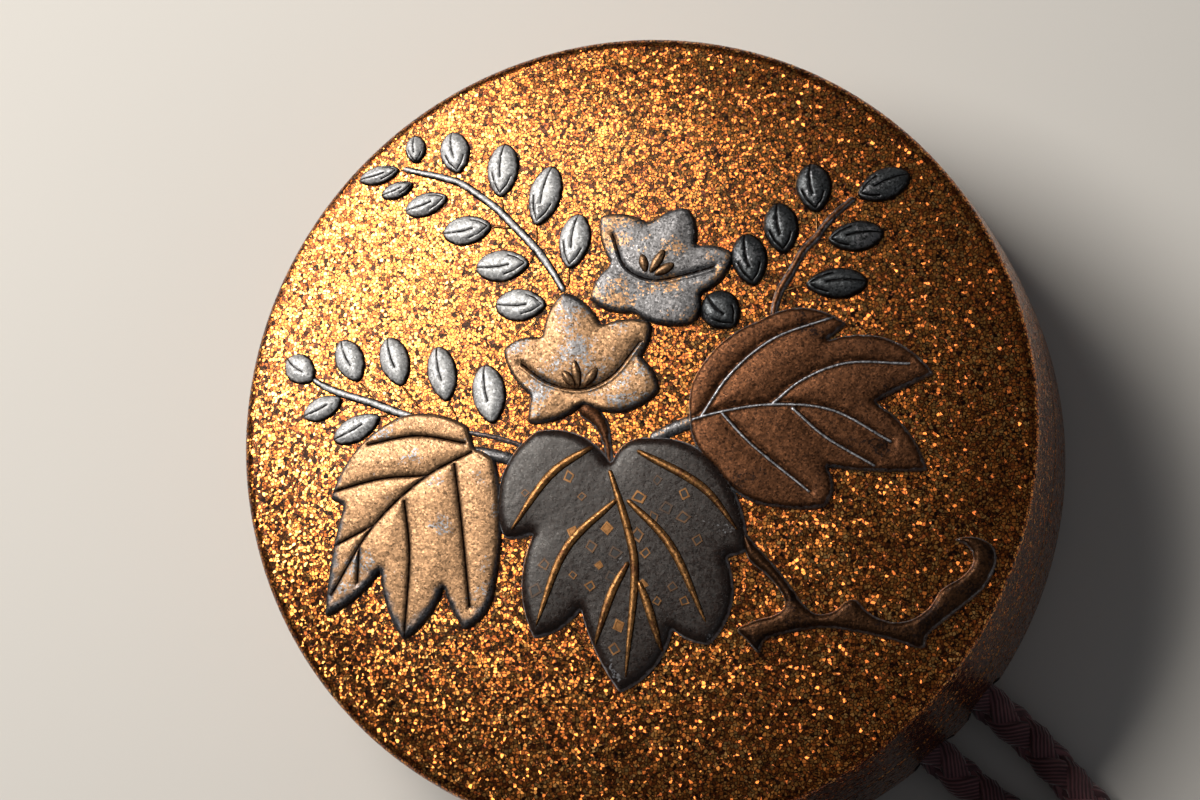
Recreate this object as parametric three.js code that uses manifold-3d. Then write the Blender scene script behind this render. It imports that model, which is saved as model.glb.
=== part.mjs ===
// Round lacquered case of an inro set: a thick two-part disc with a raised paulownia design on its face,
// on a doubled braided cord. Millimetres, +Z up, the design's top towards +Y, origin at the middle of the
// flat back that the case lies on.
import * as THREE from 'three';
import { mergeVertices } from 'three/addons/utils/BufferGeometryUtils.js';
import Module from 'manifold-3d';

const wasm = await Module();
wasm.setup();

// The closed case
const FACE_RADIUS = 19.0; // where the face turns into the side wall
const CASE_HEIGHT = 14.0; // from the flat back to the middle of the face
const FACE_CROWN = 1.2; // how much the middle of the face stands above its rim
const RIM_ROUND = 0.6; // radius of the turn from the face into the wall
const BACK_ROUND = 2.0; // radius of the turn from the wall into the back
const WALL_SWELL = 0.1; // how far the wall swells out at half its height

// Lid and base
const SEAM_HEIGHT = 6.9; // lower edge of the lid
const SEAM_GAP = 0.3; // clearance between the lid's edge and the base's
const LID_WALL = 1.5;
const LID_ROOF = 1.6;
const BASE_FLOOR = 1.3;
const COLLAR_WALL = 1.0; // the base's collar, which the lid slides over
const COLLAR_RISE = 2.6; // above the base's edge
const COLLAR_FIT = 0.3; // clearance between the collar and the lid's wall
const INNER_ROUND = 1.0; // fillet inside the lid and the base
const CASE_SIDES = 48;
const CROWN_STATIONS = [0, 0.24, 0.45, 0.63, 0.76, 0.87]; // of the face's profile, as shares of its radius

// Cord and its holes
const CORD_DIAMETER = 2.0;
const CORD_CLEARANCE = 0.3; // around the cord in its holes, and at the ends of its stretches
const CORD_AZIMUTH = -42.4; // degrees from +X, where the doubled cord leaves the wall
const CORD_SPACING = 3.5; // between the two holes' axes
const CORD_HOLE_HEIGHT = 1.95; // of the holes' axes at the face radius
const CORD_HOLE_SLOPE = 20; // degrees, the holes fall outwards
const CORD_SIDES = 8;
const STRAND_STEPS = 12;
const TAIL_STEPS = 3;
const CORD_LIFT = 0.02; // of the lowest turn above the surface that the case lies on
const STOP_KNOT = new THREE.Vector3(3.4, 6.2, 3.6); // along the cord, across it, and its height
const STOP_KNOT_REACH = 12.6; // from the case's axis to the knot's middle
const END_KNOT = new THREE.Vector3(7.0, 6.4, 4.6);

// The coil of the cord's far length
const COIL_CENTRE = new THREE.Vector2(13.0, -32.5);
const COIL_INNER_TURN = 9.9; // radius of the inner turn's centreline
const COIL_TURN_PITCH = 2.1; // between neighbouring turns
const COIL_TRACKS = 2; // turns side by side
const COIL_LAYERS = 2; // turns on each other
const COIL_SIDES = 36;
const TAIL_TURN = 85; // degrees round the coil's middle, where the tails leave the inner turn
const TAIL_BEND = 4.6; // radius of the tails' bend towards the end knot
const TAIL_SWEEP = 118; // degrees of that bend

// Heights of the raised work above the ground that carries it
const LEAF_RISE = 0.5;
const MIDDLE_LEAF_RISE = 0.6;
const FLOWER_RISE = 0.55;
const BUD_RISE = 0.45;
const STEM_RISE = 0.3;
const BRANCH_RISE = 0.45;
const VEIN_RISE = 0.12;
const VEIN_CUT = 0.15;
const RELIEF_ROOT = 0.35; // how deep each figure is rooted in what carries it
const RELIEF_SOFTENING = 0.22; // the bevel round a leaf's or flower's top

// The design, in shares of the face radius. A corner is x, y and the bow of the side that follows it, as a
// share of that side's length; corners run anticlockwise.
const LEFT_LEAF = {
  rise: LEAF_RISE,
  corners: [
    [-0.39, -0.046, 0], [-0.408, 0.011, 0.1], [-0.581, 0.042, 0.12], [-0.762, -0.164, 0],
    [-0.727, -0.18, 0.03], [-0.772, -0.457, 0.08], [-0.628, -0.345, 0.08], [-0.567, -0.519, 0.1],
    [-0.465, -0.39, 0.05], [-0.41, -0.497, 0.15], [-0.333, -0.382, 0.05], [-0.337, -0.077, 0.1],
  ],
  veins: [
    [[-0.412, -0.033], [-0.539, -0.012], [-0.665, -0.031]],
    [[-0.395, -0.055], [-0.508, -0.112], [-0.644, -0.233], [-0.753, -0.404]],
    [[-0.508, -0.112], [-0.629, -0.118], [-0.754, -0.147]],
    [[-0.439, -0.085], [-0.419, -0.227], [-0.395, -0.44]],
    [[-0.566, -0.174], [-0.551, -0.301], [-0.562, -0.509]],
    [[-0.644, -0.233], [-0.765, -0.291]],
  ],
};
const MIDDLE_LEAF = {
  rise: MIDDLE_LEAF_RISE,
  corners: [
    [-0.044, -0.087, 0.16], [-0.234, -0.004, 0.13], [-0.33, -0.181, 0.08], [-0.311, -0.269, 0.1],
    [-0.238, -0.26, 0.12], [-0.234, -0.519, 0.1], [-0.117, -0.449, 0.05], [-0.019, -0.653, 0.13],
    [0.112, -0.5, 0.1], [0.204, -0.537, 0.16], [0.245, -0.322, 0.05], [0.296, -0.308, 0.07],
    [0.248, -0.133, 0.15], [0.055, -0.026, 0.2],
  ],
  veins: [
    [[-0.087, -0.049], [-0.187, -0.114], [-0.29, -0.254]],
    [[-0.044, -0.107], [0.006, -0.263], [0.022, -0.347], [0.001, -0.619]],
    [[-0.023, -0.181], [-0.147, -0.298], [-0.225, -0.492]],
    [[0.007, -0.335], [-0.035, -0.413], [-0.077, -0.54]],
    [[0.032, -0.382], [0.055, -0.443], [0.09, -0.556]],
    [[0.0, -0.182], [0.106, -0.291], [0.199, -0.486]],
    [[0.023, -0.061], [0.191, -0.157], [0.276, -0.261]],
  ],
};
const RIGHT_LEAF = {
  rise: LEAF_RISE,
  corners: [
    [0.149, 0.015, 0.12], [0.215, -0.105, 0.14], [0.377, -0.202, 0.05], [0.484, -0.202, 0.2],
    [0.489, -0.103, 0.03], [0.735, -0.113, 0.1], [0.605, 0.057, 0], [0.749, 0.126, 0.18],
    [0.485, 0.21, 0], [0.535, 0.252, 0.17], [0.317, 0.262, 0.11], [0.153, 0.107, 0.05],
  ],
  veins: [
    [[0.1, -0.002], [0.228, 0.033], [0.356, 0.05], [0.501, 0.035], [0.647, -0.044]],
    [[0.182, 0.025], [0.25, 0.125], [0.354, 0.212], [0.499, 0.265]],
    [[0.36, 0.055], [0.428, 0.109], [0.532, 0.15], [0.69, 0.149]],
    [[0.233, 0.029], [0.298, -0.041], [0.449, -0.166]],
    [[0.406, 0.04], [0.484, -0.029], [0.607, -0.103]],
  ],
};
const UPPER_FLOWER = [
  [-0.086, 0.535, 0.1], [-0.054, 0.411, 0.12], [-0.108, 0.322, 0.12], [0.002, 0.288, 0.12],
  [0.155, 0.258, 0.15], [0.169, 0.333, 0.15], [0.253, 0.434, 0.1], [0.156, 0.454, 0.12],
  [0.135, 0.552, 0.1], [0.039, 0.513, 0.12],
];
const LOWER_FLOWER = [
  [-0.174, 0.345, 0.1], [-0.224, 0.23, 0.15], [-0.325, 0.2, 0.1], [-0.249, 0.082, 0.05],
  [-0.256, 0.012, 0.1], [-0.119, 0.059, 0.19], [0.073, 0.09, 0.12], [0.024, 0.177, 0.1],
  [0.05, 0.264, 0.1], [-0.076, 0.257, 0.12],
];
// A bud is the place of its pointed root, its heading in degrees and its length.
const UPPER_SPRAY = {
  stem: [[-0.172, 0.344], [-0.251, 0.46], [-0.35, 0.561], [-0.447, 0.631], [-0.602, 0.677]],
  buds: [
    [-0.61, 0.675, -167, 0.108], [-0.571, 0.636, -160, 0.089], [-0.48, 0.598, -162, 0.115],
    [-0.363, 0.518, -172, 0.127], [-0.263, 0.42, -176, 0.138], [-0.217, 0.313, 179, 0.131],
    [-0.567, 0.688, 95, 0.075], [-0.455, 0.657, 101, 0.112], [-0.343, 0.591, 87, 0.14],
    [-0.248, 0.515, 76, 0.158], [-0.161, 0.402, 81, 0.143],
  ],
};
const LOWER_SPRAY = {
  stem: [[-0.56, 0.035], [-0.66, 0.077], [-0.728, 0.099], [-0.818, 0.143]],
  buds: [
    [-0.815, 0.139, 141, 0.093], [-0.695, 0.132, 115, 0.118], [-0.582, 0.117, 108, 0.131],
    [-0.464, 0.075, 102, 0.143], [-0.346, 0.016, 99, 0.151], [-0.738, 0.089, -157, 0.109],
    [-0.638, 0.042, -154, 0.133],
  ],
};
const RIGHT_SPRAY = {
  stem: [[0.35, 0.27], [0.368, 0.337], [0.423, 0.437], [0.471, 0.495], [0.549, 0.572]],
  buds: [
    [0.554, 0.576, 23, 0.139], [0.483, 0.464, 7, 0.14], [0.43, 0.352, 2, 0.154], [0.455, 0.534, 98, 0.127],
    [0.378, 0.43, 99, 0.132], [0.304, 0.35, 101, 0.135], [0.26, 0.25, 133, 0.108],
  ],
};
const BRANCH = [
  [0.25, -0.51], [0.322, -0.484], [0.429, -0.468], [0.52, -0.465], [0.6, -0.478], [0.67, -0.493],
  [0.728, -0.497], [0.768, -0.45], [0.821, -0.403], [0.874, -0.345], [0.887, -0.304], [0.852, -0.279],
  [0.81, -0.283],
];
const TWIG = [[0.285, -0.3], [0.36, -0.38], [0.43, -0.46]];
const FLOWER_STALK = [[-0.124, 0.06], [-0.071, 0.008], [-0.044, -0.1]];
const LEAF_STALK = [[-0.4, -0.005], [-0.329, -0.012], [-0.27, -0.03]];

// Widths of the drawn lines, in shares of the face radius, and a bud's width in shares of its length
const STEM_WIDTH = 0.02;
const STALK_WIDTH = 0.016;
const BRANCH_WIDTH = 0.044;
const TWIG_WIDTH = 0.026;
const VEIN_WIDTH = 0.014;
const BUD_WIDTH = 0.54;

// The cord's routes from the case to the coil, laid by hand: the upper strand, then the lower one
const UPPER_ROUTE = [
  [17.3, -13.35, 1.12], [19.2, -15.4, 1.05], [20.9, -17.25, 1.05], [22.7, -19.15, 1.05], [24.4, -21.05, 1.05],
  [25.6, -22.85, 1.05], [26.4, -25.0, 1.05], [26.9, -27.4, 1.05], [27.25, -29.9, 1.05], [27.4, -32.4, 1.05],
];
const LOWER_ROUTE = [
  [14.7, -15.75, 1.12], [16.6, -17.2, 1.05], [18.7, -18.7, 1.05], [20.3, -19.9, 1.05], [21.6, -21.1, 1.05],
];

const degrees = Math.PI / 180;
const rimHeight = CASE_HEIGHT - FACE_CROWN;
const lidBore = FACE_RADIUS - LID_WALL;
const collarOuter = lidBore - COLLAR_FIT;
const collarInner = collarOuter - COLLAR_WALL;
const baseEdge = SEAM_HEIGHT - SEAM_GAP;
const cordOut = new THREE.Vector3(Math.cos(CORD_AZIMUTH * degrees), Math.sin(CORD_AZIMUTH * degrees), 0);
const cordSide = new THREE.Vector3(-cordOut.y, cordOut.x, 0);

const LACQUER = { color: 0x8a5a22, roughness: 0.34, metalness: 0.55 };
const CORD = { color: 0x5a3238, roughness: 0.9, metalness: 0.0 };

// Height of the lacquered face at a distance from its middle: almost spherical, steeper towards the rim
function faceHeight(radius) {
  const s = Math.min(radius / (FACE_RADIUS - RIM_ROUND), 1);
  return rimHeight + FACE_CROWN * (1 - 0.72 * s ** 2 - 0.28 * s ** 6);
}

function arc(centreX, centreY, radius, from, to, steps) {
  const points = [];
  for (let i = 0; i <= steps; i++) {
    const angle = (from + ((to - from) * i) / steps) * degrees;
    points.push(new THREE.Vector2(centreX + radius * Math.cos(angle), centreY + radius * Math.sin(angle)));
  }
  return points;
}

// Outer wall from one height to another, swelling by WALL_SWELL at half the wall's height
function wallPoints(fromHeight, toHeight, steps) {
  const low = BACK_ROUND;
  const high = rimHeight - RIM_ROUND;
  const points = [];
  for (let i = 0; i <= steps; i++) {
    const z = fromHeight + ((toHeight - fromHeight) * i) / steps;
    const middle = (2 * (z - low)) / (high - low) - 1;
    points.push(new THREE.Vector2(FACE_RADIUS + WALL_SWELL * (1 - middle ** 2), z));
  }
  return points;
}

// A closed geometry as a solid, turned right way out
function toSolid(geometry) {
  const bare = geometry.clone();
  bare.deleteAttribute('normal');
  bare.deleteAttribute('uv');
  const merged = mergeVertices(bare, 1e-4);
  const vertProperties = new Float32Array(merged.attributes.position.array);
  const triVerts = new Uint32Array(merged.index.array);
  const solid = new wasm.Manifold(new wasm.Mesh({ numProp: 3, vertProperties, triVerts }));
  if (solid.volume() > 0) return solid;
  return new wasm.Manifold(new wasm.Mesh({ numProp: 3, vertProperties, triVerts: triVerts.reverse() }));
}

function toGeometry(solid) {
  const mesh = solid.getMesh();
  const geometry = new THREE.BufferGeometry();
  geometry.setAttribute('position', new THREE.BufferAttribute(new Float32Array(mesh.vertProperties), 3));
  geometry.setIndex(new THREE.BufferAttribute(new Uint32Array(mesh.triVerts), 1));
  geometry.computeVertexNormals();
  return geometry;
}

// A profile of distance from the axis and height, turned about +Z
function turned(profile, sides) {
  return toSolid(new THREE.LatheGeometry(profile, sides).rotateX(Math.PI / 2));
}

// An outline from corners in shares of the face radius, each side bowed out by its own amount
function bowedShape(corners) {
  const shape = new THREE.Shape();
  const place = (i) => {
    const [x, y] = corners[i % corners.length];
    return new THREE.Vector2(x, y).multiplyScalar(FACE_RADIUS);
  };
  shape.moveTo(place(0).x, place(0).y);
  corners.forEach(([, , bow], i) => {
    const a = place(i);
    const b = place(i + 1);
    const outward = new THREE.Vector2(b.y - a.y, a.x - b.x).multiplyScalar(2 * bow);
    const control = a.clone().add(b).multiplyScalar(0.5).add(outward);
    shape.quadraticCurveTo(control.x, control.y, b.x, b.y);
  });
  return shape;
}

// A bud seen from above: pointed at its root, round at its far end
function budShape([x, y, heading, length]) {
  const stations = [[0, 0], [0.22, 0.36], [0.5, 0.5], [0.78, 0.42], [0.96, 0.18]];
  const side = (sign) => stations.map(([along, across]) => [along, sign * across * BUD_WIDTH]);
  const ring = [...side(-1), ...side(1).slice(1).reverse()];
  const turn = heading * degrees;
  const points = ring.map(([along, across]) => {
    const u = along * length;
    const v = across * length;
    return new THREE.Vector2(
      (x + u * Math.cos(turn) - v * Math.sin(turn)) * FACE_RADIUS,
      (y + u * Math.sin(turn) + v * Math.cos(turn)) * FACE_RADIUS,
    );
  });
  return new THREE.Shape(points);
}

// A band of even width along a line through points in shares, narrowing to its end
function bandShape(line, width, endWidth, steps) {
  const curve = new THREE.SplineCurve(line.map(([x, y]) => new THREE.Vector2(x, y).multiplyScalar(FACE_RADIUS)));
  const left = [];
  const right = [];
  for (let i = 0; i <= steps; i++) {
    const t = i / steps;
    const middle = curve.getPoint(t);
    const along = curve.getTangent(t);
    const half = ((width + (endWidth - width) * t) * FACE_RADIUS) / 2;
    const across = new THREE.Vector2(-along.y, along.x).multiplyScalar(half);
    left.push(middle.clone().add(across));
    right.push(middle.clone().sub(across));
  }
  return new THREE.Shape([...right, ...left.reverse()]);
}

// A shape raised on the face: its walls stand on the face from `low` to `high` above it
function raised(shape, low, high, softening = 0) {
  const geometry = new THREE.ExtrudeGeometry(shape, {
    depth: high - low - 2 * softening,
    bevelEnabled: softening > 0,
    bevelThickness: softening,
    bevelSize: softening,
    bevelOffset: -softening,
    bevelSegments: 1,
    curveSegments: 3,
  });
  const position = geometry.attributes.position;
  for (let i = 0; i < position.count; i++) {
    const ground = faceHeight(Math.hypot(position.getX(i), position.getY(i)));
    position.setZ(i, ground + low + softening + position.getZ(i));
  }
  return toSolid(geometry);
}

function leaf({ corners, rise }) {
  return raised(bowedShape(corners), -RELIEF_ROOT, rise, RELIEF_SOFTENING);
}

function spray({ stem, buds }) {
  const line = raised(bandShape(stem, STEM_WIDTH, STEM_WIDTH, 8), -RELIEF_ROOT, STEM_RISE);
  return buds.reduce(
    (all, bud) => all.add(raised(budShape(bud), -RELIEF_ROOT, BUD_RISE, RELIEF_SOFTENING)),
    line,
  );
}

function veinsOf({ veins, rise }, low, high) {
  return veins.map((line) => raised(bandShape(line, VEIN_WIDTH, VEIN_WIDTH / 2, 5), rise + low, rise + high));
}

function lid() {
  const crown = CROWN_STATIONS.map((share) => share * FACE_RADIUS).map((r) => new THREE.Vector2(r, faceHeight(r)));
  const rim = arc(FACE_RADIUS - RIM_ROUND, rimHeight - RIM_ROUND, RIM_ROUND, 90, 0, 3);
  const wall = wallPoints(rimHeight - RIM_ROUND, SEAM_HEIGHT, 4).slice(1);
  const ceiling = (r) => new THREE.Vector2(r, faceHeight(r) - LID_ROOF);
  const corner = ceiling(lidBore - INNER_ROUND);
  const inside = arc(corner.x, corner.y - INNER_ROUND, INNER_ROUND, 0, 90, 3);
  const profile = [
    ...crown, ...rim, ...wall, new THREE.Vector2(lidBore, SEAM_HEIGHT), ...inside, ceiling(lidBore / 2), ceiling(0),
  ];
  let solid = turned(profile, CASE_SIDES);
  const figures = [
    leaf(LEFT_LEAF), leaf(RIGHT_LEAF), leaf(MIDDLE_LEAF),
    leaf({ corners: UPPER_FLOWER, rise: FLOWER_RISE }), leaf({ corners: LOWER_FLOWER, rise: FLOWER_RISE }),
    spray(UPPER_SPRAY), spray(LOWER_SPRAY), spray(RIGHT_SPRAY),
    raised(bandShape(BRANCH, BRANCH_WIDTH, BRANCH_WIDTH / 2, 16), -RELIEF_ROOT, BRANCH_RISE, RELIEF_SOFTENING / 2),
    raised(bandShape(TWIG, TWIG_WIDTH, TWIG_WIDTH, 3), -RELIEF_ROOT, BRANCH_RISE),
    raised(bandShape(FLOWER_STALK, STALK_WIDTH, STALK_WIDTH, 4), -RELIEF_ROOT, FLOWER_RISE),
    raised(bandShape(LEAF_STALK, STALK_WIDTH, STALK_WIDTH, 3), -RELIEF_ROOT, STEM_RISE),
    ...veinsOf(MIDDLE_LEAF, -RELIEF_ROOT, VEIN_RISE),
    ...veinsOf(RIGHT_LEAF, -RELIEF_ROOT, VEIN_RISE),
  ];
  for (const figure of figures) solid = solid.add(figure);
  for (const groove of veinsOf(LEFT_LEAF, -VEIN_CUT, RELIEF_ROOT)) solid = solid.subtract(groove);
  return toGeometry(solid);
}

// The axis point of a cord hole at a distance out from the case's axis
function holePoint(side, reach) {
  const height = CORD_HOLE_HEIGHT + (FACE_RADIUS - reach) * Math.tan(CORD_HOLE_SLOPE * degrees);
  return cordOut.clone().multiplyScalar(reach).addScaledVector(cordSide, (side * CORD_SPACING) / 2).setZ(height);
}

function cordHole(side) {
  const inner = holePoint(side, collarInner - 1);
  const outer = holePoint(side, FACE_RADIUS + 2);
  const geometry = new THREE.CylinderGeometry(
    CORD_DIAMETER / 2 + CORD_CLEARANCE, CORD_DIAMETER / 2 + CORD_CLEARANCE, inner.distanceTo(outer), 12,
  );
  const along = outer.clone().sub(inner).normalize();
  geometry.applyQuaternion(new THREE.Quaternion().setFromUnitVectors(new THREE.Vector3(0, 1, 0), along));
  const middle = inner.clone().add(outer).multiplyScalar(0.5);
  geometry.translate(middle.x, middle.y, middle.z);
  return toSolid(geometry);
}

function base() {
  const back = arc(FACE_RADIUS - BACK_ROUND, BACK_ROUND, BACK_ROUND, -90, 0, 4);
  const wall = wallPoints(BACK_ROUND, baseEdge, 3).slice(1);
  const inside = arc(collarInner - INNER_ROUND, BASE_FLOOR + INNER_ROUND, INNER_ROUND, 0, -90, 3);
  const profile = [
    new THREE.Vector2(0, 0), ...back, ...wall, new THREE.Vector2(collarOuter, baseEdge),
    new THREE.Vector2(collarOuter, baseEdge + COLLAR_RISE), new THREE.Vector2(collarInner, baseEdge + COLLAR_RISE),
    ...inside, new THREE.Vector2(0, BASE_FLOOR),
  ];
  return toGeometry(turned(profile, CASE_SIDES).subtract(cordHole(1)).subtract(cordHole(-1)));
}

function cordTube(points, steps) {
  const section = new THREE.Shape(arc(0, 0, CORD_DIAMETER / 2, 0, 360, CORD_SIDES).slice(0, -1));
  const path = new THREE.CatmullRomCurve3(points, false, 'centripetal');
  return toGeometry(toSolid(new THREE.ExtrudeGeometry(section, { steps, bevelEnabled: false, extrudePath: path })));
}

// One strand from the stop knot inside the base, out through its hole and over to the coil
function strand(side, route) {
  const start = STOP_KNOT_REACH + STOP_KNOT.x / 2 + CORD_CLEARANCE;
  const hole = [start, FACE_RADIUS - 1, FACE_RADIUS + 0.6].map((reach) => holePoint(side, reach));
  return cordTube([...hole, ...route.map((p) => new THREE.Vector3(...p))], STRAND_STEPS);
}

function knot(size, centre, turn) {
  const geometry = new THREE.SphereGeometry(0.5, 10, 7);
  geometry.scale(size.x, size.y, size.z);
  geometry.rotateZ(turn);
  geometry.translate(centre.x, centre.y, centre.z);
  return toGeometry(toSolid(geometry));
}

function coil() {
  const inner = COIL_INNER_TURN - CORD_DIAMETER / 2;
  const outer = COIL_INNER_TURN + (COIL_TRACKS - 1) * COIL_TURN_PITCH + CORD_DIAMETER / 2;
  const top = CORD_DIAMETER + (COIL_LAYERS - 1) * COIL_TURN_PITCH;
  const cut = CORD_DIAMETER / 4;
  const ring = [
    [inner + cut, 0], [outer - cut, 0], [outer, cut], [outer, top - cut], [outer - cut, top],
    [inner + cut, top], [inner, top - cut], [inner, cut], [inner + cut, 0],
  ].map(([r, z]) => new THREE.Vector2(r, z));
  return toGeometry(turned(ring, COIL_SIDES).translate([COIL_CENTRE.x, COIL_CENTRE.y, 0]));
}

// A tail leaves the inner turn inwards, bending towards the coil's middle
function tailPoint(bend, height) {
  const outward = new THREE.Vector2(Math.cos(TAIL_TURN * degrees), Math.sin(TAIL_TURN * degrees));
  const pivot = COIL_CENTRE.clone().addScaledVector(outward, COIL_INNER_TURN - TAIL_BEND);
  const angle = (TAIL_TURN - bend) * degrees;
  return new THREE.Vector3(pivot.x + TAIL_BEND * Math.cos(angle), pivot.y + TAIL_BEND * Math.sin(angle), height);
}

function tail(height) {
  const bends = [0.69, 0.79, 0.89, 1].map((share) => share * TAIL_SWEEP);
  return cordTube(bends.map((bend) => tailPoint(bend, height)), TAIL_STEPS);
}

function endKnotPlace() {
  const end = tailPoint(TAIL_SWEEP, 0);
  const before = tailPoint(TAIL_SWEEP - 1, 0);
  const along = end.clone().sub(before).normalize();
  const centre = end.clone().addScaledVector(along, END_KNOT.x / 2 + CORD_CLEARANCE).setZ(END_KNOT.z / 2);
  return { centre, turn: Math.atan2(along.y, along.x) };
}

function piece(name, geometry, look) {
  const mesh = new THREE.Mesh(geometry, new THREE.MeshStandardMaterial(look));
  mesh.name = name;
  return mesh;
}

const model = new THREE.Group();
const lowLayer = CORD_DIAMETER / 2 + CORD_LIFT;
const highLayer = lowLayer + COIL_TURN_PITCH;
const stopCentre = holePoint(0, STOP_KNOT_REACH).setZ(BASE_FLOOR + CORD_CLEARANCE + STOP_KNOT.z / 2);
const endKnot = endKnotPlace();
model.add(
  piece('lid', lid(), LACQUER),
  piece('base', base(), LACQUER),
  piece('cord_upper', strand(1, UPPER_ROUTE), CORD),
  piece('cord_lower', strand(-1, LOWER_ROUTE), CORD),
  piece('cord_coil', coil(), CORD),
  piece('cord_upper_tail', tail(highLayer), CORD),
  piece('cord_lower_tail', tail(lowLayer), CORD),
  piece('end_knot', knot(END_KNOT, endKnot.centre, endKnot.turn), CORD),
  piece('stop_knot', knot(STOP_KNOT, stopCentre, CORD_AZIMUTH * degrees), CORD),
);

export default model;
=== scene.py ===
"""Looks of a round lacquered case of an inro set, lying on its flat back.

The lid's ground is dense gold flakes under amber lacquer. Paulownia leaves, flowers and buds stand on it in
gold, silver and pewter powder, and a doubled braided silk cord leaves the base from behind. The frame is in
metres; the shapes are worked out in millimetres and turned into metres where a mesh is made.
"""

import logging
import math
from dataclasses import dataclass, field
from enum import Enum
from functools import reduce
from typing import Callable, ClassVar, Mapping, Sequence, Union

import bpy
import bmesh
import numpy as np
from mathutils import Matrix, Vector
from mathutils.geometry import delaunay_2d_cdt


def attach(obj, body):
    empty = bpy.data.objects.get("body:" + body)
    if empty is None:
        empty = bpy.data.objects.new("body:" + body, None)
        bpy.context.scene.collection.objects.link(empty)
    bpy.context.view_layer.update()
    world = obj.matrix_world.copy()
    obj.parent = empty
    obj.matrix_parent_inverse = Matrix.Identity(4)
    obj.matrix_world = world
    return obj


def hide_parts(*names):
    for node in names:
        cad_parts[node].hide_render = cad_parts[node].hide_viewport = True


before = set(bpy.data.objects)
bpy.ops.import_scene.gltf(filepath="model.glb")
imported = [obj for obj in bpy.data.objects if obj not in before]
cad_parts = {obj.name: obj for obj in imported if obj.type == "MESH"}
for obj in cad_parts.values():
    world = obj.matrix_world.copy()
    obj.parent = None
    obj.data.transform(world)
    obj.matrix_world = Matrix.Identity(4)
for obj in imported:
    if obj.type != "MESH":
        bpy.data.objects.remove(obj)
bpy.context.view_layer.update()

MM = 0.001
LOG = logging.getLogger("case")
Point = Sequence[float]
Line = Sequence[Point]
Colour = tuple[float, float, float]
Stops = Sequence[tuple[float, Colour]]


# Shader nodes

class Wire:
    """One output of a shader node, on which Python's operators build Math nodes."""

    def __init__(self, shader: "Shader", socket: bpy.types.NodeSocket) -> None:
        """Keeps the shader that the output belongs to and its socket."""
        self.shader = shader
        self.socket = socket

    def maths(self, operation: str, *values: "Value") -> "Wire":
        """Adds a Math node.

        Args:
            operation: the node's operation.
            values: its inputs, in order.

        Returns:
            The node's output.
        """
        return self.shader.node("ShaderNodeMath", {"operation": operation}, dict(enumerate(values)))

    def __add__(self, other: "Value") -> "Wire":
        """Sum."""
        return self.maths("ADD", self, other)

    def __radd__(self, other: "Value") -> "Wire":
        """Sum, from the right."""
        return self.maths("ADD", other, self)

    def __sub__(self, other: "Value") -> "Wire":
        """Difference."""
        return self.maths("SUBTRACT", self, other)

    def __rsub__(self, other: "Value") -> "Wire":
        """Difference, from the right, so that 1 - mask works."""
        return self.maths("SUBTRACT", other, self)

    def __mul__(self, other: "Value") -> "Wire":
        """Product."""
        return self.maths("MULTIPLY", self, other)

    def __rmul__(self, other: "Value") -> "Wire":
        """Product, from the right."""
        return self.maths("MULTIPLY", other, self)

    def __truediv__(self, other: "Value") -> "Wire":
        """Quotient."""
        return self.maths("DIVIDE", self, other)

    def __rtruediv__(self, other: "Value") -> "Wire":
        """Quotient, from the right."""
        return self.maths("DIVIDE", other, self)

    def __pow__(self, other: "Value") -> "Wire":
        """Power."""
        return self.maths("POWER", self, other)

    def sine(self) -> "Wire":
        """Sine of an angle in radians."""
        return self.maths("SINE", self)

    def rises(self, low: float, high: float) -> "Wire":
        """A soft step from 0 at low to 1 at high.

        Args:
            low: where the step starts.
            high: where it ends; below low it falls instead.

        Returns:
            The step.
        """
        if high < low:
            return 1 - self.rises(high, low)
        inputs = {"Value": self, "From Min": low, "From Max": high}
        return self.shader.node("ShaderNodeMapRange", {"interpolation_type": "SMOOTHSTEP"}, inputs)


Value = Union[Wire, float]


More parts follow.
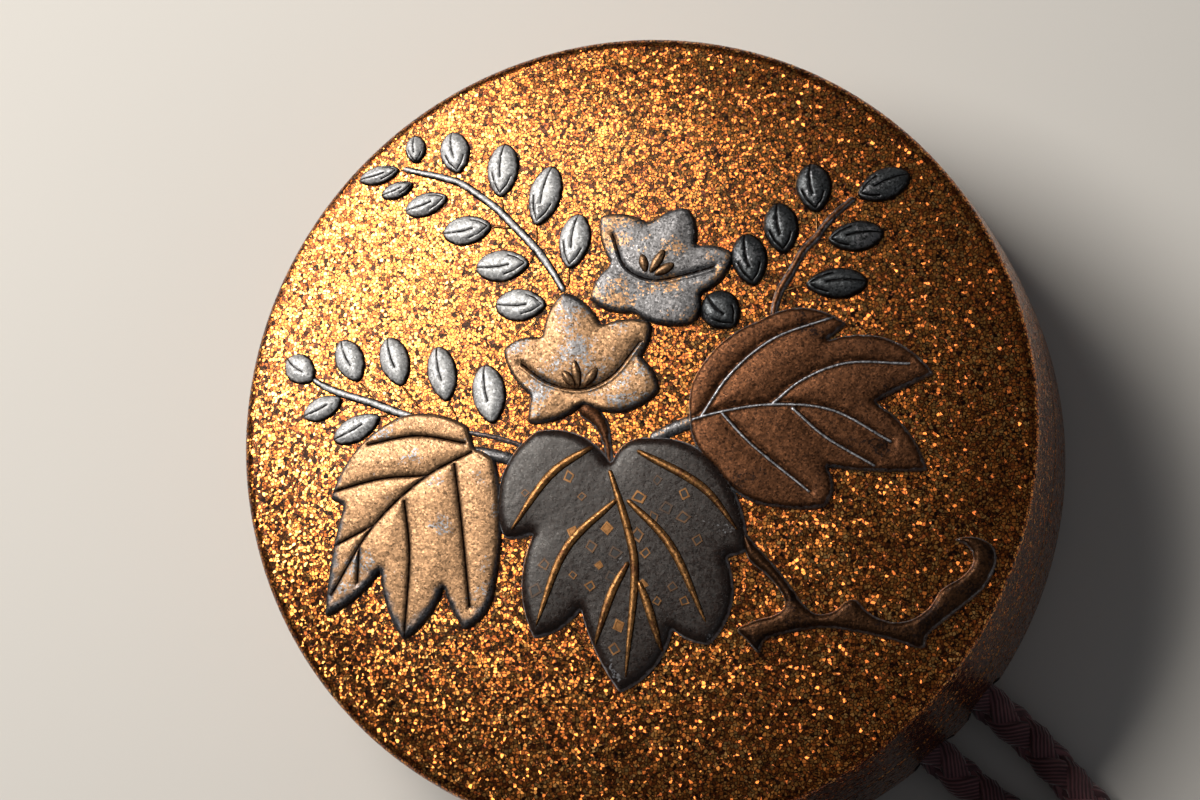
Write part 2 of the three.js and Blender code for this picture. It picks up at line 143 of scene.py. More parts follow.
class Shader:
    """A material's node tree around one Principled shader."""

    def __init__(self, name: str) -> None:
        """Starts a material of that name.

        Args:
            name: the material's name.
        """
        self.material = bpy.data.materials.new(name)
        self.material.use_nodes = True
        self.tree = self.material.node_tree
        self.surface = self.tree.nodes["Principled BSDF"]

    def node(
        self, kind: str, settings: Mapping[str, object] | None = None,
        inputs: Mapping[Union[int, str], object] | None = None, output: Union[int, str] = 0,
    ) -> Wire:
        """Makes any node.

        Args:
            kind: the node's type.
            settings: its properties, set first; "stops" are a colour ramp's stops.
            inputs: a value or a wire for each socket, by name or number.
            output: which output to return.

        Returns:
            That output as a wire.
        """
        made = self.tree.nodes.new(kind)
        for key, value in (settings or {}).items():
            if key == "stops":
                self.set_stops(made.color_ramp, value)
            else:
                setattr(made, key, value)
        for key, value in (inputs or {}).items():
            self.feed(made.inputs[key], value)
        return Wire(self, made.outputs[output])

    def set_stops(self, ramp: bpy.types.ColorRamp, stops: Stops) -> None:
        """Gives a colour ramp its stops.

        Args:
            ramp: the ramp.
            stops: the place from 0 to 1 and the colour of each.
        """
        while len(ramp.elements) < len(stops):
            ramp.elements.new(0.5)
        for element, (place, colour) in zip(ramp.elements, stops):
            element.position = place
            element.color = (*colour, 1.0)

    def feed(self, socket: bpy.types.NodeSocket, value: object) -> None:
        """Links a wire to a socket, or sets the socket's own value.

        Args:
            socket: the socket.
            value: a wire, a number, a vector or a colour.
        """
        if isinstance(value, Wire):
            self.tree.links.new(value.socket, socket)
        elif isinstance(value, tuple) and socket.type == "RGBA":
            socket.default_value = (*value, 1.0)
        else:
            socket.default_value = value

    def set(self, **inputs: object) -> None:
        """Feeds the Principled shader's sockets, named with underscores for spaces."""
        for key, value in inputs.items():
            self.feed(self.surface.inputs[key.replace("_", " ").title().replace("Ior", "IOR")], value)

    def place(self) -> Wire:
        """The place on the object, in its own frame."""
        return self.node("ShaderNodeTexCoord", output="Object")

    def attribute(self, name: str) -> Wire:
        """A value that the mesh carries at its vertices."""
        return self.node("ShaderNodeAttribute", {"attribute_name": name}, output="Fac")

    def noise(self, size: float, detail: float = 2.0) -> Wire:
        """Soft noise of that grain size in metres, from 0 to 1."""
        inputs = {"Vector": self.place(), "Scale": 1 / size, "Detail": detail}
        return self.node("ShaderNodeTexNoise", inputs=inputs)

    def cells(self, vector: Wire, size: float, output: str = "Color", feature: str = "F1") -> Wire:
        """Voronoi cells of that size in metres."""
        inputs = {"Vector": vector, "Scale": 1 / size}
        return self.node("ShaderNodeTexVoronoi", {"feature": feature}, inputs, output)

    def channel(self, colour: Wire, name: str) -> Wire:
        """One channel of a colour."""
        return self.node("ShaderNodeSeparateColor", inputs={"Color": colour}, output=name)

    def ramp(self, value: Wire, stops: Stops) -> Wire:
        """A colour for a value."""
        return self.node("ShaderNodeValToRGB", {"stops": stops}, {"Fac": value})

    def mix(self, factor: Value, first: object, second: object, blend: str = "MIX") -> Wire:
        """Mixes two colours."""
        settings = {"data_type": "RGBA", "blend_type": blend}
        return self.node("ShaderNodeMix", settings, {0: factor, 6: first, 7: second}, 2)

    def vector(self, operation: str, *values: object) -> Wire:
        """Vector Math on vectors, in order."""
        return self.node("ShaderNodeVectorMath", {"operation": operation}, dict(enumerate(values)))

    def length(self, vector: Wire) -> Wire:
        """The length of a vector."""
        return self.node("ShaderNodeVectorMath", {"operation": "LENGTH"}, {0: vector}, "Value")

    def bump(self, height: Wire, depth: float, strength: float = 1.0) -> Wire:
        """A normal from heights of that depth in metres."""
        return self.node("ShaderNodeBump", inputs={"Height": height, "Distance": depth, "Strength": strength})

    def tilted_normal(self, random: Wire, tilt: Wire) -> Wire:
        """The surface's normal, leaning in a random direction.

        Args:
            random: a colour of random channels from 0 to 1.
            tilt: how far the normal leans, as a share of its length.

        Returns:
            The new normal.
        """
        lean = self.vector("SUBTRACT", random, (0.5, 0.5, 0.5))
        scaled = self.node("ShaderNodeVectorMath", {"operation": "SCALE"}, {0: lean, "Scale": 2 * tilt})
        normal = self.node("ShaderNodeNewGeometry", output="Normal")
        return self.vector("NORMALIZE", self.vector("ADD", normal, scaled))


# Finishes

@dataclass(frozen=True)
class FlakeLacquer:
    """Gold flakes strewn densely in two layers under clear amber lacquer. Its lengths are in metres.

    Attributes:
        name: the material's name.
        flake: the size of the upper flakes.
        deep_flake: the size of the flakes that show between them.
        bare: the share of places without an upper flake.
        deep_bare: the share of places without a lower flake.
        side: where a flake's side fades in and is full, as shares of its size.
        ragged: how far the flakes' sides wander, as a share of the upper flakes' size.
        apart: how far the lower layer's pattern is moved from the upper one.
        cloud: the size of the places with brighter flakes.
        shine: the roughness of the smoothest flakes.
        dulling: how much rougher the dullest flakes are.
        tilt: how far the flakes lean.
        gap: the lacquer's colour between flakes.
        deep: the colour of the lower flakes.
        golds: the upper flakes' colours, from the darkest to the brightest.
        rim_radius: about where the painted shade on the rim and wall sets in.
        rim_shade_tint: what the colour there is multiplied by, a painted shade.
        rim_shade_share: how much of that painted shade shows.
    """

    name: str = "gold_flake_lacquer"
    flake: float = 0.155 * MM
    deep_flake: float = 0.12 * MM
    bare: float = 0.03
    deep_bare: float = 0.25
    side: tuple[float, float] = (0.05, 0.19)
    ragged: float = 0.45
    apart: tuple[float, float, float] = (0.37 * MM, 0.11 * MM, 0.23 * MM)
    cloud: float = 2.4 * MM
    shine: float = 0.17
    dulling: float = 0.15
    tilt: float = 0.18
    gap: Colour = (0.018, 0.005, 0.002)
    deep: Colour = (0.15, 0.036, 0.009)
    golds: Stops = (
        (0.05, (0.08, 0.015, 0.004)), (0.28, (0.29, 0.076, 0.016)), (0.52, (0.60, 0.190, 0.037)),
        (0.76, (0.88, 0.38, 0.090)), (1.0, (1.0, 0.64, 0.25)),
    )
    rim_radius: float = 18.5 * MM
    rim_shade_tint: Colour = (0.75, 0.50, 0.30)
    rim_shade_share: float = 0.35

    def build(self) -> bpy.types.Material:
        """Makes the material.

        Returns:
            The material.
        """
        shader = Shader(self.name)
        place = self.bent_place(shader)
        flake, colour = self.layer(shader, place, self.flake, self.bare)
        below = shader.vector("ADD", place, self.apart)
        under, deep_colour = self.layer(shader, below, self.deep_flake, self.deep_bare)
        red, green, blue = (shader.channel(colour, name) for name in ("Red", "Green", "Blue"))
        brightness = red * 0.62 + shader.noise(self.cloud, 3.0) * 0.30 + 0.10
        sunk = shader.mix(shader.channel(deep_colour, "Red"), self.gap, self.deep)
        between = shader.mix(under, self.gap, sunk)
        ground = shader.mix(flake, between, shader.ramp(brightness, self.golds))
        # Painted shade: the rim and the wall are darkened towards brown, where the surface turns away from
        # the light.
        rim = self.radius_from_axis(shader).rises(self.rim_radius - 0.5 * MM, self.rim_radius + 0.3 * MM)
        shader.set(
            base_color=shader.mix(rim * self.rim_shade_share, ground, self.rim_shade_tint, "MULTIPLY"),
            metallic=0.92 + flake * 0.08,
            roughness=self.shine + green * self.dulling,
            normal=shader.tilted_normal(colour, (blue**3 * 2.1 + 0.38) * self.tilt),
            coat_weight=0.10, coat_roughness=0.25, coat_ior=1.5,
        )
        return shader.material

    def bent_place(self, shader: Shader) -> Wire:
        """The place, bent a little so that flakes have ragged sides.

        Args:
            shader: the shader that it is added to.

        Returns:
            The bent place.
        """
        inputs = {"Vector": shader.place(), "Scale": 1.6 / self.flake, "Detail": 1.0}
        wander = shader.node("ShaderNodeTexNoise", inputs=inputs, output="Color")
        bend = shader.vector("MULTIPLY", wander, (self.ragged * self.flake,) * 3)
        return shader.vector("ADD", shader.place(), bend)

    def layer(self, shader: Shader, place: Wire, size: float, bare: float) -> tuple[Wire, Wire]:
        """One layer of flakes.

        Args:
            shader: the shader that it is added to.
            place: the bent place.
            size: the flakes' size.
            bare: the share of places without a flake.

        Returns:
            Where flakes lie, and a random colour for each.
        """
        edge = shader.cells(place, size, "Distance", "DISTANCE_TO_EDGE")
        colour = shader.cells(place, size)
        present = shader.channel(colour, "Blue").rises(bare, bare + 0.02)
        return edge.rises(*self.side) * present, colour

    def radius_from_axis(self, shader: Shader) -> Wire:
        """Distance from the case's axis."""
        flat = shader.vector("MULTIPLY", shader.place(), (1.0, 1.0, 0.0))
        return shader.length(flat)


@dataclass(frozen=True)
class PlainLacquer:
    """Plain black-brown lacquer, as inside the case."""

    name: str = "plain_lacquer"
    dark: Colour = (0.012, 0.006, 0.004)
    light: Colour = (0.030, 0.013, 0.008)

    def build(self) -> bpy.types.Material:
        """Makes the material.

        Returns:
            The material.
        """
        shader = Shader(self.name)
        cloud = shader.noise(3.0 * MM, 4.0)
        shader.set(
            base_color=shader.mix(cloud, self.dark, self.light),
            roughness=0.22 + cloud * 0.2,
            coat_weight=0.3, coat_roughness=0.15,
        )
        return shader.material


class Tone(Enum):
    """Powders that the raised design is strewn with, and a pale steel grey that is a painted highlight."""

    GOLD = (0.335, 0.196, 0.104)
    BRONZE = (0.33, 0.160, 0.056)
    BROWN_GOLD = (0.100, 0.040, 0.017)
    BARK = (0.060, 0.026, 0.011)
    SILVER = (0.62, 0.63, 0.645)
    GREY = (0.170, 0.168, 0.175)
    SLATE = (0.110, 0.112, 0.122)
    CHARCOAL = (0.014, 0.007, 0.005)
    PEWTER = (0.060, 0.066, 0.072)
    SOOT = (0.008, 0.007, 0.008)
    # Painted highlight: pale steel grey for the sheen that light puts on edges and raised lines.
    STEEL_SHEEN = (0.30, 0.31, 0.34)


@dataclass(frozen=True)
class Powder:
    """Metal powder on raised lacquer, with other tones along its edges and in or on its lines.

    Attributes:
        name: the material's name.
        body: the tone of most of it.
        patch: the tone of its worn or mixed patches.
        edge: the tone of its edges.
        line: the tone in or on its lines.
        patches: how much of it is patches, from 0 to 1.
        edge_width: how far in the edges' tone reaches, in millimetres.
        line_width: the lines' half width, in millimetres.
        root: where a leaf is held, in metres, if its edges' tone widens away from there.
        widening: how much wider it is at the tips.
        grain: the size of its grains, in metres.
        grit: how far its grains stand out, in metres.
        specks: the share of dark grains.
        metallic: how metallic it is.
        roughness: the roughness of its smoothest grains.
    """

    name: str
    body: Tone
    patch: Tone
    edge: Tone
    line: Tone
    patches: float = 0.3
    edge_width: float = 0.25
    line_width: float = 0.10
    root: Point | None = None
    widening: float = 0.0
    grain: float = 0.085 * MM
    grit: float = 0.05 * MM
    specks: float = 0.10
    metallic: float = 0.90
    roughness: float = 0.32

    def build(self) -> bpy.types.Material:
        """Makes the material.

        Returns:
            The material.
        """
        shader = Shader(self.name)
        grain = shader.cells(shader.place(), self.grain)
        random = shader.channel(grain, "Red")
        ragged = shader.noise(0.32 * MM, 3.0)
        worn = shader.noise(1.8 * MM, 6.0) + random * 0.20
        limit = 0.82 - 0.42 * self.patches
        body = shader.mix(worn.rises(limit, limit + 0.05), self.body.value, self.patch.value)
        near = shader.attribute("edge") / self.reach(shader) + (ragged - 0.5) * (1.6 * self.edge_width)
        edged = shader.mix(near.rises(1.2 * self.edge_width, 0.3 * self.edge_width), body, self.edge.value)
        drawn = shader.attribute("line") + (ragged - 0.5) * (1.2 * self.line_width)
        lined = shader.mix(drawn.rises(1.3 * self.line_width, 0.5 * self.line_width), edged, self.line.value)
        height = random * 0.8 + ragged * 0.5 + shader.noise(0.55 * MM, 2.0) * 0.5
        shader.set(
            base_color=shader.mix(1.0, lined, shader.ramp(random, self.shades()), "MULTIPLY"),
            metallic=self.metallic,
            roughness=self.roughness + shader.channel(grain, "Green") * 0.2,
            normal=shader.bump(height, self.grit, 0.8),
        )
        return shader.material

    def shades(self) -> Stops:
        """How bright the grains are, from the dark specks up."""
        greys = [(0.0, 0.28), (self.specks, 0.42), (self.specks + 0.12, 0.66), (0.75, 0.95), (1.0, 1.40)]
        return [(place, (grey,) * 3) for place, grey in greys]

    def reach(self, shader: Shader) -> Value:
        """How many times wider the edges' tone is at each place.

        Args:
            shader: the shader that it is added to.

        Returns:
            The factor, 1 near the root.
        """
        if self.root is None:
            return 1.0
        away = shader.vector("SUBTRACT", shader.place(), (*self.root, FACE.top * MM))
        return 1 + shader.length(away).rises(4.5 * MM, 9.5 * MM) * self.widening


POWDERS = (
    # Painted shade: the buds' edges, silver and pewter alike, darken to soot where their domes meet the
    # ground.
    Powder("silver_powder", Tone.SILVER, Tone.GREY, Tone.SOOT, Tone.CHARCOAL, patches=0.0, edge_width=0.13,
           line_width=0.035, specks=0.0, metallic=0.6, roughness=0.46),
    Powder("pewter_powder", Tone.PEWTER, Tone.SLATE, Tone.SOOT, Tone.SOOT, edge_width=0.14, line_width=0.05,
           metallic=0.75, roughness=0.28),
    Powder("gold_powder", Tone.GOLD, Tone.GREY, Tone.SLATE, Tone.CHARCOAL, patches=0.16, edge_width=0.13,
           line_width=0.055, root=(-7.4 * MM, -0.9 * MM), widening=3.0, specks=0.05),
    # The next three powders' edges, and the brown-gold powder's lines, are a painted highlight in pale steel
    # grey.
    Powder("brown_gold_powder", Tone.BROWN_GOLD, Tone.CHARCOAL, Tone.STEEL_SHEEN, Tone.STEEL_SHEEN, patches=0.12,
           edge_width=0.12, line_width=0.055, specks=0.12),
    Powder("bark_powder", Tone.BARK, Tone.CHARCOAL, Tone.STEEL_SHEEN, Tone.SOOT, patches=0.45, edge_width=0.09,
           grit=0.08 * MM),
    Powder("charcoal_powder", Tone.CHARCOAL, Tone.SLATE, Tone.STEEL_SHEEN, Tone.SOOT, patches=0.0, edge_width=0.09,
           grit=0.035 * MM, specks=0.05, metallic=0.1, roughness=0.25),
    Powder("bronze_powder", Tone.BRONZE, Tone.BROWN_GOLD, Tone.BARK, Tone.SOOT, edge_width=0.04,
           grit=0.07 * MM),
    Powder("bright_gold_powder", Tone.GOLD, Tone.GOLD, Tone.BARK, Tone.SOOT, patches=0.0, edge_width=0.07,
           roughness=0.34),
    # The flowers' dark line tone is a painted shadow in the hollow beside their lines.
    Powder("silver_and_gold_powder", Tone.GREY, Tone.GOLD, Tone.SLATE, Tone.CHARCOAL, patches=0.36,
           edge_width=0.13, line_width=0.05),
    Powder("gold_over_silver_powder", Tone.GOLD, Tone.GREY, Tone.SLATE, Tone.CHARCOAL, patches=0.42,
           edge_width=0.16, line_width=0.05),
)


@dataclass(frozen=True)
class Foil:
    """Gold foil where the squares' value is high, and dark lacquer where the foil has gone."""

    name: str = "gold_foil"

    def build(self) -> bpy.types.Material:
        """Makes the material.

        Returns:
            The material.
        """
        shader = Shader(self.name)
        leaf = shader.attribute("foil").rises(0.35, 0.65)
        cloud = shader.noise(0.5 * MM, 3.0)
        gold = shader.mix(cloud, Tone.BARK.value, Tone.BRONZE.value)
        shader.set(
            base_color=shader.mix(leaf, Tone.SOOT.value, gold),
            metallic=0.2 + leaf * 0.7,
            roughness=0.3 + cloud * 0.2,
            normal=shader.bump(cloud, 0.03 * MM, 0.6),
        )
        return shader.material


@dataclass(frozen=True)
class Silk:
    """Braided silk of a dull mauve brown."""

    name: str = "mauve_silk"
    deep: Colour = (0.045, 0.014, 0.019)
    light: Colour = (0.19, 0.075, 0.085)
    threads: float = 7.0
    twist: float = 3.2

    def build(self) -> bpy.types.Material:
        """Makes the material.

        Returns:
            The material.
        """
        shader = Shader(self.name)
        around = shader.attribute("across") * (2 * math.pi * self.threads)
        thread = (around + shader.attribute("along") * self.twist).sine() * 0.5 + 0.5
        cloud = shader.noise(0.9 * MM, 4.0)
        level = thread * 0.5 + cloud * 0.6
        shader.set(
            base_color=shader.mix(level.rises(0.25, 0.95), self.deep, self.light),
            roughness=0.62 + cloud * 0.2,
            normal=shader.bump(thread + cloud * 0.4, 0.05 * MM, 0.8),
            sheen_weight=0.35, sheen_roughness=0.4,
        )
        return shader.material


@dataclass(frozen=True)
class FloorPaint:
    """Plain pale paper for the floor."""

    name: str = "pale_floor"
    colour: Colour = (0.62, 0.61, 0.59)
    darker: float = 0.95

    def build(self) -> bpy.types.Material:
        """Makes the material.

        Returns:
            The material.
        """
        shader = Shader(self.name)
        cloud = shader.noise(30 * MM, 2.0)
        shade = tuple(self.darker * part for part in self.colour)
        shader.set(base_color=shader.mix(cloud, self.colour, shade), roughness=0.85)
        return shader.material


# Mesh making

Faces = list[tuple[int, ...]]
NO_LINE = 9.0
CURVE_SAMPLES = 24


@dataclass
class Shell:
    """One closed mesh, or several joined.

    Attributes:
        points: its vertices, in millimetres.
        faces: its faces.
        values: what the finishes read at each vertex, by name.
        finishes: the material index of each face, if there is more than one material.
    """

    points: np.ndarray
    faces: Faces
    values: dict[str, np.ndarray] = field(default_factory=dict)
    finishes: list[int] = field(default_factory=list)

    def joined(self, other: "Shell") -> "Shell":
        """This shell and another as one.

        Args:
            other: the shell to add, with values of the same names.

        Returns:
            Both in one.
        """
        shift = len(self.points)
        moved = [tuple(i + shift for i in face) for face in other.faces]
        values = {k: np.concatenate([v, other.values[k]]) for k, v in self.values.items()}
        points = np.concatenate([self.points, other.points])
        return Shell(points, self.faces + moved, values, self.finishes + other.finishes)


def join(shells: Sequence[Shell]) -> Shell:
    """Several shells as one."""
    return reduce(Shell.joined, shells)


def add_object(name: str, data: bpy.types.ID) -> bpy.types.Object:
    """Puts an object into the scene.

    Args:
        name: its name.
        data: its mesh, lamp or camera.

    Returns:
        The object.
    """
    made = bpy.data.objects.new(name, data)
    bpy.context.scene.collection.objects.link(made)
    return made


def make_piece(
    name: str, shell: Shell, looks: Sequence[bpy.types.Material], crease: float = 50,
) -> bpy.types.Object:
    """Turns a shell into an object that rides on the case.

    Args:
        name: the piece's name.
        shell: its form, in millimetres.
        looks: its materials, in the order that the shell's finishes count them.
        crease: the angle in degrees above which an edge stays sharp.

    Returns:
        The object.
    """
    mesh = bpy.data.meshes.new(name)
    mesh.from_pydata((shell.points * MM).tolist(), [], shell.faces)
    for key, numbers in shell.values.items():
        mesh.attributes.new(key, "FLOAT", "POINT").data.foreach_set("value", numbers.astype(np.float32))
    for look in looks:
        mesh.materials.append(look)
    if shell.finishes:
        mesh.polygons.foreach_set("material_index", shell.finishes)
    outward = bmesh.new()
    outward.from_mesh(mesh)
    bmesh.ops.recalc_face_normals(outward, faces=outward.faces)
    outward.to_mesh(mesh)
    outward.free()
    mesh.shade_smooth()
    mesh.set_sharp_from_angle(angle=math.radians(crease))
    made = add_object(name, mesh)
    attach(made, "root")
    LOG.info("%s: %d faces", name, len(mesh.polygons))
    return made


def segment_distance(points: np.ndarray, line: np.ndarray) -> np.ndarray:
    """Distance of points from a line in the plane.

    Args:
        points: x and y of each point.
        line: the points that the line runs through.

    Returns:
        Each point's distance to the nearest part of the line.
    """
    start, run = line[:-1], np.diff(line, axis=0)
    offset = points[:, None, :] - start[None]
    share = np.clip((offset * run).sum(2) / np.maximum((run**2).sum(1), 1e-12), 0, 1)
    return np.sqrt(((offset - share[..., None] * run) ** 2).sum(2)).min(1)


def side_of(points: np.ndarray, line: np.ndarray) -> np.ndarray:
    """On which side of a line in the plane points lie.

    Args:
        points: x and y of each point.
        line: the points that the line runs through.

    Returns:
        1 for each point on the left of the nearest part of the line, and -1 on its right.
    """
    start, run = line[:-1], np.diff(line, axis=0)
    middle = start + run / 2
    near = ((points[:, None, :] - middle[None]) ** 2).sum(2).argmin(1)
    offset = points - start[near]
    return np.sign(run[near, 0] * offset[:, 1] - run[near, 1] * offset[:, 0])


def distances(line: np.ndarray) -> np.ndarray:
    """How far along a line each of its points lies."""
    return np.concatenate([[0], np.cumsum(np.linalg.norm(np.diff(line, axis=0), axis=1))])


def leftward(run: np.ndarray) -> np.ndarray:
    """The unit vectors to the left of directions in the plane."""
    return np.stack([-run[:, 1], run[:, 0]], 1) / np.linalg.norm(run, axis=1)[:, None]


def spin(angle: float) -> np.ndarray:
    """What turns rows of x and y by an angle in degrees."""
    turn = math.radians(angle)
    return np.array([[math.cos(turn), math.sin(turn)], [-math.sin(turn), math.cos(turn)]])


def spaced(line: np.ndarray, step: float) -> np.ndarray:
    """A line with its points at even steps.

    Args:
        line: the points that it runs through.
        step: about how far apart the new points are.

    Returns:
        The new points.
    """
    lengths = distances(line)
    places = np.linspace(0, lengths[-1], max(2, round(lengths[-1] / step) + 1))
    return np.stack([np.interp(places, lengths, line[:, i]) for i in range(line.shape[1])], 1)


def curve(points: Line, step: float) -> np.ndarray:
    """A centripetal Catmull-Rom curve, which makes no loops where its points are uneven.

    Args:
        points: what it runs through.
        step: about how far apart its own points are.

    Returns:
        Its own points, at even steps.
    """
    p = np.array(points, float)
    p = np.concatenate([[2 * p[0] - p[1]], p, [2 * p[-1] - p[-2]]])
    out = []
    for a, b, c, d in zip(p, p[1:], p[2:], p[3:]):
        t = np.cumsum([0, *(np.linalg.norm(v) ** 0.5 for v in (b - a, c - b, d - c))])
        for s in np.linspace(t[1], t[2], CURVE_SAMPLES, endpoint=False):
            ab = a + (b - a) * (s - t[0]) / (t[1] - t[0])
            bc = b + (c - b) * (s - t[1]) / (t[2] - t[1])
            cd = c + (d - c) * (s - t[2]) / (t[3] - t[2])
            abc = ab + (bc - ab) * (s - t[0]) / (t[2] - t[0])
            bcd = bc + (cd - bc) * (s - t[1]) / (t[3] - t[1])
            out.append(abc + (bcd - abc) * (s - t[1]) / (t[2] - t[1]))
    out.append(p[-2])
    return spaced(np.array(out), step)


def inside(points: np.ndarray, ring: np.ndarray) -> np.ndarray:
    """Which points lie inside a closed ring in the plane.

    Args:
        points: x and y of each point.
        ring: the ring's points.

    Returns:
        True for each point inside.
    """
    x, y = points[:, 0, None], points[:, 1, None]
    x1, y1 = ring.T
    x2, y2 = np.roll(ring, -1, 0).T
    crosses = (y1 > y) != (y2 > y)
    slope = (x2 - x1) / np.where(y2 == y1, 1e-12, y2 - y1)
    return (crosses & (x < x1 + (y - y1) * slope)).sum(1) % 2 == 1


def tube_faces(rings: int, count: int) -> Faces:
    """The faces of a closed tube.

    Args:
        rings: how many rings of points it has.
        count: how many points each ring has.

    Returns:
        Its sides and its two ends.
    """
    sides = [
        (k * count + i, k * count + (i + 1) % count, (k + 1) * count + (i + 1) % count, (k + 1) * count + i)
        for k in range(rings - 1) for i in range(count)
    ]
    return [*sides, tuple(reversed(range(count))), tuple((rings - 1) * count + i for i in range(count))]


# The case

@dataclass(frozen=True)
class Face:
    """The domed face that the design stands on, in millimetres."""

    radius: float = 19.0
    top: float = 14.0
    crown: float = 1.2
    rim_round: float = 0.6

    @property
    def rim(self) -> float:
        """Height of the face at its rim."""
        return self.top - self.crown

    @property
    def flat(self) -> float:
        """Radius at which the rounding of the rim starts."""
        return self.radius - self.rim_round

    def height(self, places: np.ndarray) -> np.ndarray:
        """Height of the ground under places seen from above: almost spherical, steeper towards the rim."""
        share = np.minimum(np.hypot(places[..., 0], places[..., 1]) / self.flat, 1)
        return self.rim + self.crown * (1 - 0.72 * share**2 - 0.28 * share**6)

    def height_at(self, radius: float) -> float:
        """Height of the ground at a distance from the axis."""
        return float(self.height(np.array([radius, 0.0])))


FACE = Face()


def arc(centre: Point, radius: float, start: float, end: float, steps: int) -> list[Point]:
    """An arc of a profile.

    Args:
        centre: its centre.
        radius: its radius.
        start: the angle of its first point, in degrees.
        end: the angle of its last point.
        steps: how many steps it is made of.

    Returns:
        Its points.
    """
    angles = np.radians(np.linspace(start, end, steps + 1))
    return [(centre[0] + radius * math.cos(a), centre[1] + radius * math.sin(a)) for a in angles]


def lathe(profile: Sequence[Point], sides: int, finishes: Sequence[int]) -> Shell:
    """Turns a profile of radius and height about the axis; it starts and ends on the axis.

    Args:
        profile: the points.
        sides: how many steps round the axis.
        finishes: the material index of each stretch of the profile.

    Returns:
        The closed shell.
    """
    angles = np.arange(sides) * 2 * math.pi / sides
    rings = [[(r * math.cos(a), r * math.sin(a), z) for a in angles] for r, z in profile[1:-1]]
    points = [(0, 0, profile[0][1]), *(p for ring in rings for p in ring), (0, 0, profile[-1][1])]
    faces, marks = [], []
    last = len(points) - 1
    for i in range(sides):
        j = (i + 1) % sides
        faces.append((0, 1 + i, 1 + j))
        marks.append(finishes[0])
        for k in range(len(rings) - 1):
            low, high = 1 + k * sides, 1 + (k + 1) * sides
            faces.append((low + i, high + i, high + j, low + j))
            marks.append(finishes[k + 1])
        edge = last - sides
        faces.append((edge + i, last, edge + j))
        marks.append(finishes[-1])
    return Shell(np.array(points, float), faces, {}, marks)


